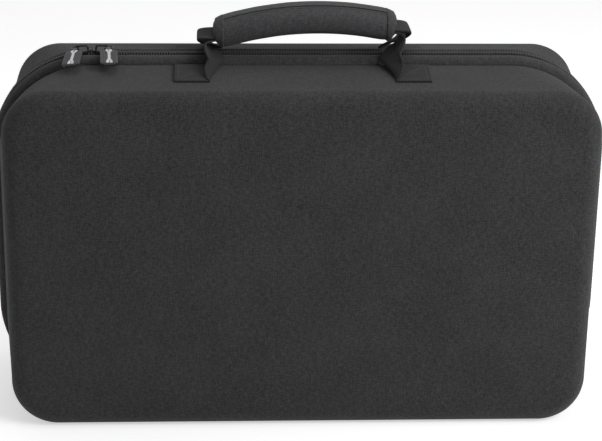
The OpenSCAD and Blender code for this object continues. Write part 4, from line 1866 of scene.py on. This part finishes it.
def swell(
    piece: bpy.types.Object,
    voxel: float,
    pressure: float,
    cap: float,
    held: Callable[[np.ndarray], np.ndarray],
    frames: int = 18,
    least_hold: float = 0.02,
) -> None:
    """Swells a closed piece with a cloth simulation and applies the result.

    Args:
        piece: The object, whose mesh is replaced.
        voxel: The remesh's voxel, in millimetres.
        pressure: The pressure inside.
        cap: The furthest that a point may move, in millimetres.
        held: Gives how firmly points in millimetres are held, from 0 to 1.
        frames: How many frames the simulation runs.
        least_hold: Points that are held less than this aren't held at all.
    """
    scene = bpy.context.scene
    copy = piece.copy()
    copy.data = piece.data.copy()
    scene.collection.objects.link(copy)
    remesh = copy.modifiers.new("even", "REMESH")
    remesh.mode, remesh.voxel_size = "VOXEL", voxel * MM
    mesh = applied(copy)
    copy.modifiers.clear()
    copy.data = mesh
    before = points_of(mesh)
    group = copy.vertex_groups.new(name="held")
    for index, weight in enumerate(held(before / MM)):
        if weight > least_hold:
            group.add([index], float(weight), "REPLACE")
    cloth = copy.modifiers.new("cloth", "CLOTH")
    settings = cloth.settings
    settings.quality = 5
    settings.mass = 0.25
    settings.tension_stiffness = settings.compression_stiffness = 22
    settings.bending_stiffness = 3
    settings.use_pressure = True
    settings.uniform_pressure_force = pressure
    settings.vertex_group_mass = "held"
    settings.effector_weights.gravity = 0
    cloth.collision_settings.use_self_collision = False
    for number in range(1, frames + 1):
        scene.frame_set(number)
    done = applied(copy)
    move = points_of(done) - before
    far = np.linalg.norm(move, axis=1)
    move *= np.minimum(1, cap * MM / np.maximum(far, 1e-9))[:, None]
    done.vertices.foreach_set("co", (before + move).ravel())
    scene.frame_set(1)
    bpy.data.objects.remove(copy)
    work = bmesh.new()
    work.from_mesh(done)
    bmesh.ops.smooth_vert(
        work, verts=work.verts, factor=0.5, use_axis_x=True, use_axis_y=True, use_axis_z=True)
    bmesh.ops.subdivide_edges(work, edges=work.edges, cuts=1, use_grid_fill=True, smooth=0.6)
    work.to_mesh(done)
    work.free()
    piece.data = done
    done.shade_smooth()
    LOG.info("%s swelled: %d points moved %.1f mm at most", piece.name, len(before), far.max() / MM)


def wrapped(piece: bpy.types.Object, places: Callable[[np.ndarray], np.ndarray]) -> None:
    """Writes the cloth's places on a piece again, from its points.

    Args:
        piece: The object.
        places: Gives the places on the cloth of points in millimetres.
    """
    mesh = piece.data
    flat = metres(places(points_of(mesh) / MM))
    corners = np.zeros(len(mesh.loops), int)
    mesh.loops.foreach_get("vertex_index", corners)
    layer = mesh.uv_layers.get("cloth") or mesh.uv_layers.new(name="cloth")
    layer.data.foreach_set("uv", flat[corners].astype(np.float32).ravel())


# Inside


@dataclass
class FoamInsert:
    """The foam block in the front shell, with its bays and finger notches."""

    form: CaseForm
    clear: float = 0.5
    border: float = 12.0
    console_floor: float = 5.0
    controller_floor: float = 8.0
    controller_w: float = 118.0
    bay_r: float = 14.0
    notch_r: float = 9.0
    notch_d: float = 20.0
    edge: float = 1.2
    cut_past: float = 3.0

    @property
    def top_y(self) -> float:
        """Distance from the parting plane to the foam's face."""
        return self.form.edge_y + self.form.ribbon_end + self.clear

    @property
    def low_y(self) -> float:
        """Distance from the parting plane to the foam's underside."""
        return self.form.face_y - self.form.wall - self.clear

    @property
    def bay_x(self) -> float:
        """Half the width that the bays take."""
        return self.form.edge_w / 2 - self.form.side_inset - self.form.wall - self.border

    @property
    def bay_low(self) -> float:
        """The bays' lower edge."""
        return self.form.wall + self.border

    @property
    def bay_high(self) -> float:
        """The bays' upper edge."""
        return self.form.edge_top - self.form.top_inset - self.form.wall - self.border

    @property
    def console_w(self) -> float:
        """Width of the console bay."""
        return 2 * self.bay_x - self.border - self.controller_w

    def block(self) -> bpy.types.Object:
        """The block before it is cut."""
        f = self.form
        inner = f.face_edge - f.wall
        rings = []
        for a in np.radians(np.linspace(90, 0, 7)):
            run = f.wall_outline(1, f.wall + self.clear + inner * (1 - math.cos(a)))
            deep = f.edge_y + f.wall_run + (inner - self.clear) * math.sin(a)
            rings.append(run.at(0.0, -deep))
        share = (self.top_y - f.edge_y) / f.wall_run
        rings.append(f.wall_outline(share, f.wall + self.clear).at(0.0, -self.top_y))
        grid = np.stack(rings)
        cloth = np.zeros((len(rings), grid.shape[1] + 1, 2))
        return lofted("foam_block", grid, cloth, capped=True)

    def cutter(
        self, x: float, z: float, w: float, h: float, r: float, floor_y: float,
    ) -> bpy.types.Object:
        """A rounded cutter from before the face down to a floor."""
        run = self.form.outline(w, 0, h, r)
        run.place += [x + w / 2, z]
        rings = np.stack([run.at(0.0, -(self.top_y - self.cut_past)), run.at(0.0, -floor_y)])
        return lofted("foam_cutter", rings, np.zeros((2, rings.shape[1] + 1, 2)), capped=True)

    def build(self, finishes: Finishes) -> bpy.types.Object:
        """Cuts the bays and softens the edges.

        Args:
            finishes: The case's finishes.

        Returns:
            The insert.
        """
        block = self.block()
        high = (self.bay_high - self.bay_low - self.border) / 2
        right = self.bay_x - self.controller_w
        tall = self.bay_high - self.bay_low
        floor_y = self.low_y - self.console_floor
        cuts = [(-self.bay_x, self.bay_low, self.console_w, tall, self.bay_r, floor_y)]
        floor_y = self.low_y - self.controller_floor
        cuts += [(right, z, self.controller_w, high, self.bay_r, floor_y)
                 for z in (self.bay_low, self.bay_high - high)]
        r, d = self.notch_r, self.top_y + self.notch_d
        middle = -self.bay_x + self.console_w / 2
        notches = [(middle, self.bay_low), (middle, self.bay_high),
                   (self.bay_x, self.bay_low + high / 2), (self.bay_x, self.bay_high - high / 2)]
        cuts += [(x - r, z - r, 2 * r, 2 * r, r - 0.01, d) for x, z in notches]
        for cut in cuts:
            cutter = self.cutter(*cut)
            modifier = block.modifiers.new("cut", "BOOLEAN")
            modifier.operation, modifier.object, modifier.solver = "DIFFERENCE", cutter, "EXACT"
            mesh = applied(block)
            block.modifiers.clear()
            block.data = mesh
            bpy.data.objects.remove(cutter)
        soften = block.modifiers.new("soften", "BEVEL")
        soften.width, soften.segments = self.edge * MM, 2
        soften.limit_method, soften.angle_limit = "ANGLE", math.radians(50)
        mesh = applied(block)
        block.modifiers.clear()
        block.data = mesh
        mesh.shade_smooth()
        mesh.set_sharp_from_angle(angle=math.radians(35))
        block.name = "foam_bays"
        dressed(block, finishes.foam, "front_half", ["foam_insert"])
        return block


@dataclass
class Keeper:
    """The hook-and-loop strap over the console bay, in two halves laid one on the other."""

    foam: FoamInsert
    width: float = 25.0
    thick: float = 1.4
    lap: float = 60.0
    seam_clear: float = 1.3
    air: float = 0.1
    rounding: float = 0.4

    def build(self, finishes: Finishes) -> list[bpy.types.Object]:
        """Builds both halves.

        Args:
            finishes: The case's finishes.

        Returns:
            The pieces.
        """
        f, foam = self.foam.form, self.foam
        x = -foam.bay_x + foam.console_w / 2
        middle = (foam.bay_low + foam.bay_high) / 2
        low_end = f.seam_in + self.seam_clear
        high_end = f.edge_top - low_end - f.ribbon_end * math.tan(math.radians(f.top_draft))
        spans = (("loop", low_end, middle + self.lap / 2, 0),
                 ("hook", middle - self.lap / 2, high_end, 1))
        made = []
        for word, low, high, level in spans:
            y = -foam.top_y + self.air + level * (self.thick + self.air) + self.thick / 2
            h, t = self.width / 2, self.thick / 2
            flat = h - self.rounding
            section = softened([(-h, 0), (-flat, t), (flat, t), (h, 0), (flat, -t), (-flat, -t)], 1)
            zs = np.linspace(low, high, 60)
            rings = np.stack([np.insert(section + [x, y], 2, z, axis=1) for z in zs])
            cloth = cloth_grid(zs, lengths(section, closed=True))
            strap = lofted(f"keeper_{word}_strap", rings, cloth, capped=True)
            made.append(dressed(
                strap, finishes.keeper, "front_half", [f"keeper_{word}"]))
        return made


@dataclass
class MeshPocket:
    """The net pocket in the lid, with its elastic mouth."""

    form: CaseForm
    mouth: float = 175.0
    y: float = 20.0
    elastic_w: float = 14.0
    elastic_t: float = 1.4
    net_t: float = 0.8
    edge_in: float = 1.3
    corner_in: float = 4.0
    mouth_in: float = 2.0
    slack: float = 1.2
    ripple: float = 0.5
    ripple_x: float = 17.0
    ripple_z: float = 23.0

    @property
    def inset(self) -> float:
        """Distance from the shell's outside to the pocket's edge."""
        return self.form.seam_in + self.edge_in

    @property
    def half_width(self) -> float:
        """Half the pocket's width, inside the drafted ribbon."""
        deep = self.y + self.net_t + self.elastic_t - self.form.edge_y
        drawn_in = deep * math.tan(math.radians(self.form.side_draft))
        return self.form.edge_w / 2 - self.inset - drawn_in

    def edge_x(self, z: np.ndarray) -> np.ndarray:
        """Half the pocket's width at a height."""
        half = self.half_width
        r = self.form.edge_corner - self.inset - self.corner_in
        drop = np.clip(self.inset + r - z, 0, r)
        return half - r + np.sqrt(np.maximum(r * r - drop * drop, 0))

    def net(self, finishes: Finishes) -> bpy.types.Object:
        """Builds the net, slightly slack.

        Args:
            finishes: The case's finishes.

        Returns:
            The net.
        """
        tall = self.mouth - self.mouth_in - self.inset
        zs = self.inset + tall * (1 - np.cos(np.linspace(0, math.pi / 2, 40)))
        share = np.linspace(-1, 1, 61)
        half = self.edge_x(zs)
        x = half[:, None] * share[None]
        z = np.repeat(zs[:, None], len(share), 1)
        rise = (z - zs[0]) / (zs[-1] - zs[0])
        ripple = self.ripple * np.sin(x / self.ripple_x) * np.sin(z / self.ripple_z)
        slack = np.sin(np.pi * rise) * (1 - share[None] ** 2) * (self.slack + ripple)
        rings = np.stack([x, self.y + self.net_t / 2 - slack, z], 2)
        net = lofted("pocket_net", rings, np.stack([x, z], 2), round_ring=False, sharp=180.0)
        dressed(net, finishes.net, "lid", ["pocket_mesh"])
        area = float(np.trapz(2 * half, zs)) * MM * MM
        flat = (2 * half.max() * MM, (zs[-1] - zs[0]) * MM)
        return net

    def elastic(self, finishes: Finishes) -> list[bpy.types.Object]:
        """Builds the elastic band over the net's edge.

        Args:
            finishes: The case's finishes.

        Returns:
            The band and its stitches.
        """
        xs = np.linspace(-self.half_width, self.half_width, 90)
        deep = (self.net_t + 0.2 + 2 * self.elastic_t) / 2
        top, low = self.mouth, self.mouth - self.elastic_w
        wide, level, turn = deep * 1.05, (top + low) / 2, top - 0.4
        section = softened([(-deep, low), (-wide, level), (-deep, turn), (0, top),
                            (deep, turn), (wide, level), (deep, low), (0, low + 0.2)], 1)
        mid_y = self.y + self.net_t / 2
        band = extruded("pocket_elastic_band", section + [mid_y, 0.0], xs)
        dressed(band, finishes.elastic, "lid", ["pocket_elastic"])
        seam = Seam(pitch=3.0, stitch=2.2)
        for side in (-1, 1):
            for z in (low + 1.8, top - 2.2):
                y = mid_y + side * (deep + 0.05)
                line = np.stack([xs, np.full(len(xs), y), np.full(len(xs), z)], 1)
                seam.run(line, np.tile([0.0, float(side), 0.0], (len(xs), 1)))
        stitches = seam.build("pocket_elastic_stitches")
        return [band, dressed(stitches, finishes.thread, "lid")]

    def build(self, finishes: Finishes) -> list[bpy.types.Object]:
        """Builds the pocket."""
        return [self.net(finishes), *self.elastic(finishes)]


# Studio


@dataclass(frozen=True)
class Lamp:
    """One soft square lamp: places and side in metres, power in watts."""

    name: str
    place: tuple[float, float, float]
    aim: tuple[float, float, float]
    side: float
    power: float

    def hang(self) -> None:
        """Hangs the lamp."""
        data = bpy.data.lights.new(self.name, "AREA")
        data.size, data.energy = self.side, self.power
        lamp = bpy.data.objects.new(self.name, data)
        lamp.location = self.place
        ray = Vector(self.aim) - Vector(self.place)
        lamp.rotation_euler = ray.to_track_quat("-Z", "Y").to_euler()
        bpy.context.scene.collection.objects.link(lamp)


@dataclass
class Studio:
    """The camera at the photograph's place, the white paper and the soft lights."""

    pitch: float = 20.917
    yaw: float = 2.828
    roll: float = -0.841
    distance: float = 1389.0
    target: tuple[float, float, float] = (0.0, 0.0, 145.0)
    focal_px: float = 1849.76
    principal: tuple[float, float] = (298.469, 209.941)
    image: tuple[int, int] = (602, 441)
    sensor: float = 36.0
    clip: tuple[float, float] = (0.05, 20.0)
    floor_half: float = 6000.0
    room_light: float = 0.3
    lamps: tuple[Lamp, ...] = (
        Lamp("key", (1.0, -0.8, 0.95), (0.05, 0.0, 0.15), 0.7, 14.0),
        Lamp("top", (0.1, 0.3, 1.9), (0.0, 0.0, 0.2), 1.2, 9.0),
    )

    def camera(self) -> bpy.types.Object:
        """Sets the camera up.

        Returns:
            The camera.
        """
        p, y, r = (math.radians(a) for a in (self.pitch, self.yaw, self.roll))
        right = Vector((math.cos(y), -math.sin(y), 0.0))
        ahead = Vector((math.sin(y) * math.cos(p), math.cos(y) * math.cos(p), -math.sin(p)))
        up = right.cross(ahead)
        side = right * math.cos(r) - up * math.sin(r)
        top = right * math.sin(r) + up * math.cos(r)
        data = bpy.data.cameras.new("camera")
        data.sensor_width = self.sensor
        data.lens = self.focal_px / self.image[0] * self.sensor
        data.shift_x = (self.image[0] / 2 - self.principal[0]) / self.image[0]
        data.shift_y = (self.principal[1] - self.image[1] / 2) / self.image[0]
        data.clip_start, data.clip_end = self.clip
        camera = bpy.data.objects.new("camera", data)
        matrix = Matrix((side, top, -ahead)).transposed().to_4x4()
        matrix.translation = (Vector(self.target) - ahead * self.distance) * MM
        camera.matrix_world = matrix
        bpy.context.scene.collection.objects.link(camera)
        bpy.context.scene.camera = camera
        return camera

    def paper(self, finishes: Finishes) -> bpy.types.Object:
        """Lays the white floor.

        Args:
            finishes: The case's finishes.

        Returns:
            The floor.
        """
        far = self.floor_half
        points = np.array([(-far, -far, 0), (far, -far, 0), (far, far, 0), (-far, far, 0)], float)
        floor = made_object("studio_floor", points, [[0, 1, 2, 3]])
        floor.data.materials.append(finishes.paper)
        return floor

    def world(self) -> None:
        """Lights the room evenly; the camera sees it white."""
        world = bpy.data.worlds.new("room")
        bpy.context.scene.world = world
        world.use_nodes = True
        nodes, links = world.node_tree.nodes, world.node_tree.links
        nodes.clear()
        path = nodes.new("ShaderNodeLightPath")
        seen = nodes.new("ShaderNodeMath")
        seen.operation = "MAXIMUM"
        links.new(path.outputs["Is Camera Ray"], seen.inputs[0])
        links.new(path.outputs["Is Transmission Ray"], seen.inputs[1])
        glow = [nodes.new("ShaderNodeBackground") for _ in range(2)]
        for one, strength in zip(glow, (self.room_light, 1.0)):
            one.inputs["Strength"].default_value = strength
            one.inputs["Color"].default_value = (1.0, 1.0, 1.0, 1.0)
        mix = nodes.new("ShaderNodeMixShader")
        links.new(seen.outputs[0], mix.inputs[0])
        links.new(glow[0].outputs[0], mix.inputs[1])
        links.new(glow[1].outputs[0], mix.inputs[2])
        links.new(mix.outputs[0], nodes.new("ShaderNodeOutputWorld").inputs["Surface"])

    def build(self, finishes: Finishes) -> None:
        """Builds the whole studio.

        Args:
            finishes: The case's finishes.
        """
        self.camera()
        self.paper(finishes)
        self.world()
        for lamp in self.lamps:
            lamp.hang()
        bpy.context.scene.view_settings.view_transform = "Standard"


def main() -> None:
    """Builds every sub-assembly in order."""
    logging.basicConfig(level=logging.INFO, format="%(message)s")
    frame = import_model()
    finishes = Finishes()
    Studio().build(finishes)
    form = CaseForm()
    for half in Half:
        ClothShell(form, half).build(finishes)
        ZipBand(form, half).build(finishes)
        ZipHalf(form, half).build(finishes)
        SeamRibbon(form, half).build(finishes)
    HingeCloth(form).build(finishes)
    ZipMetal().dress(frame, finishes)
    Handle(form).build(finishes)
    foam = FoamInsert(form)
    foam.build(finishes)
    Keeper(foam).build(finishes)
    MeshPocket(form).build(finishes)


if __name__ == "__main__":
    main()
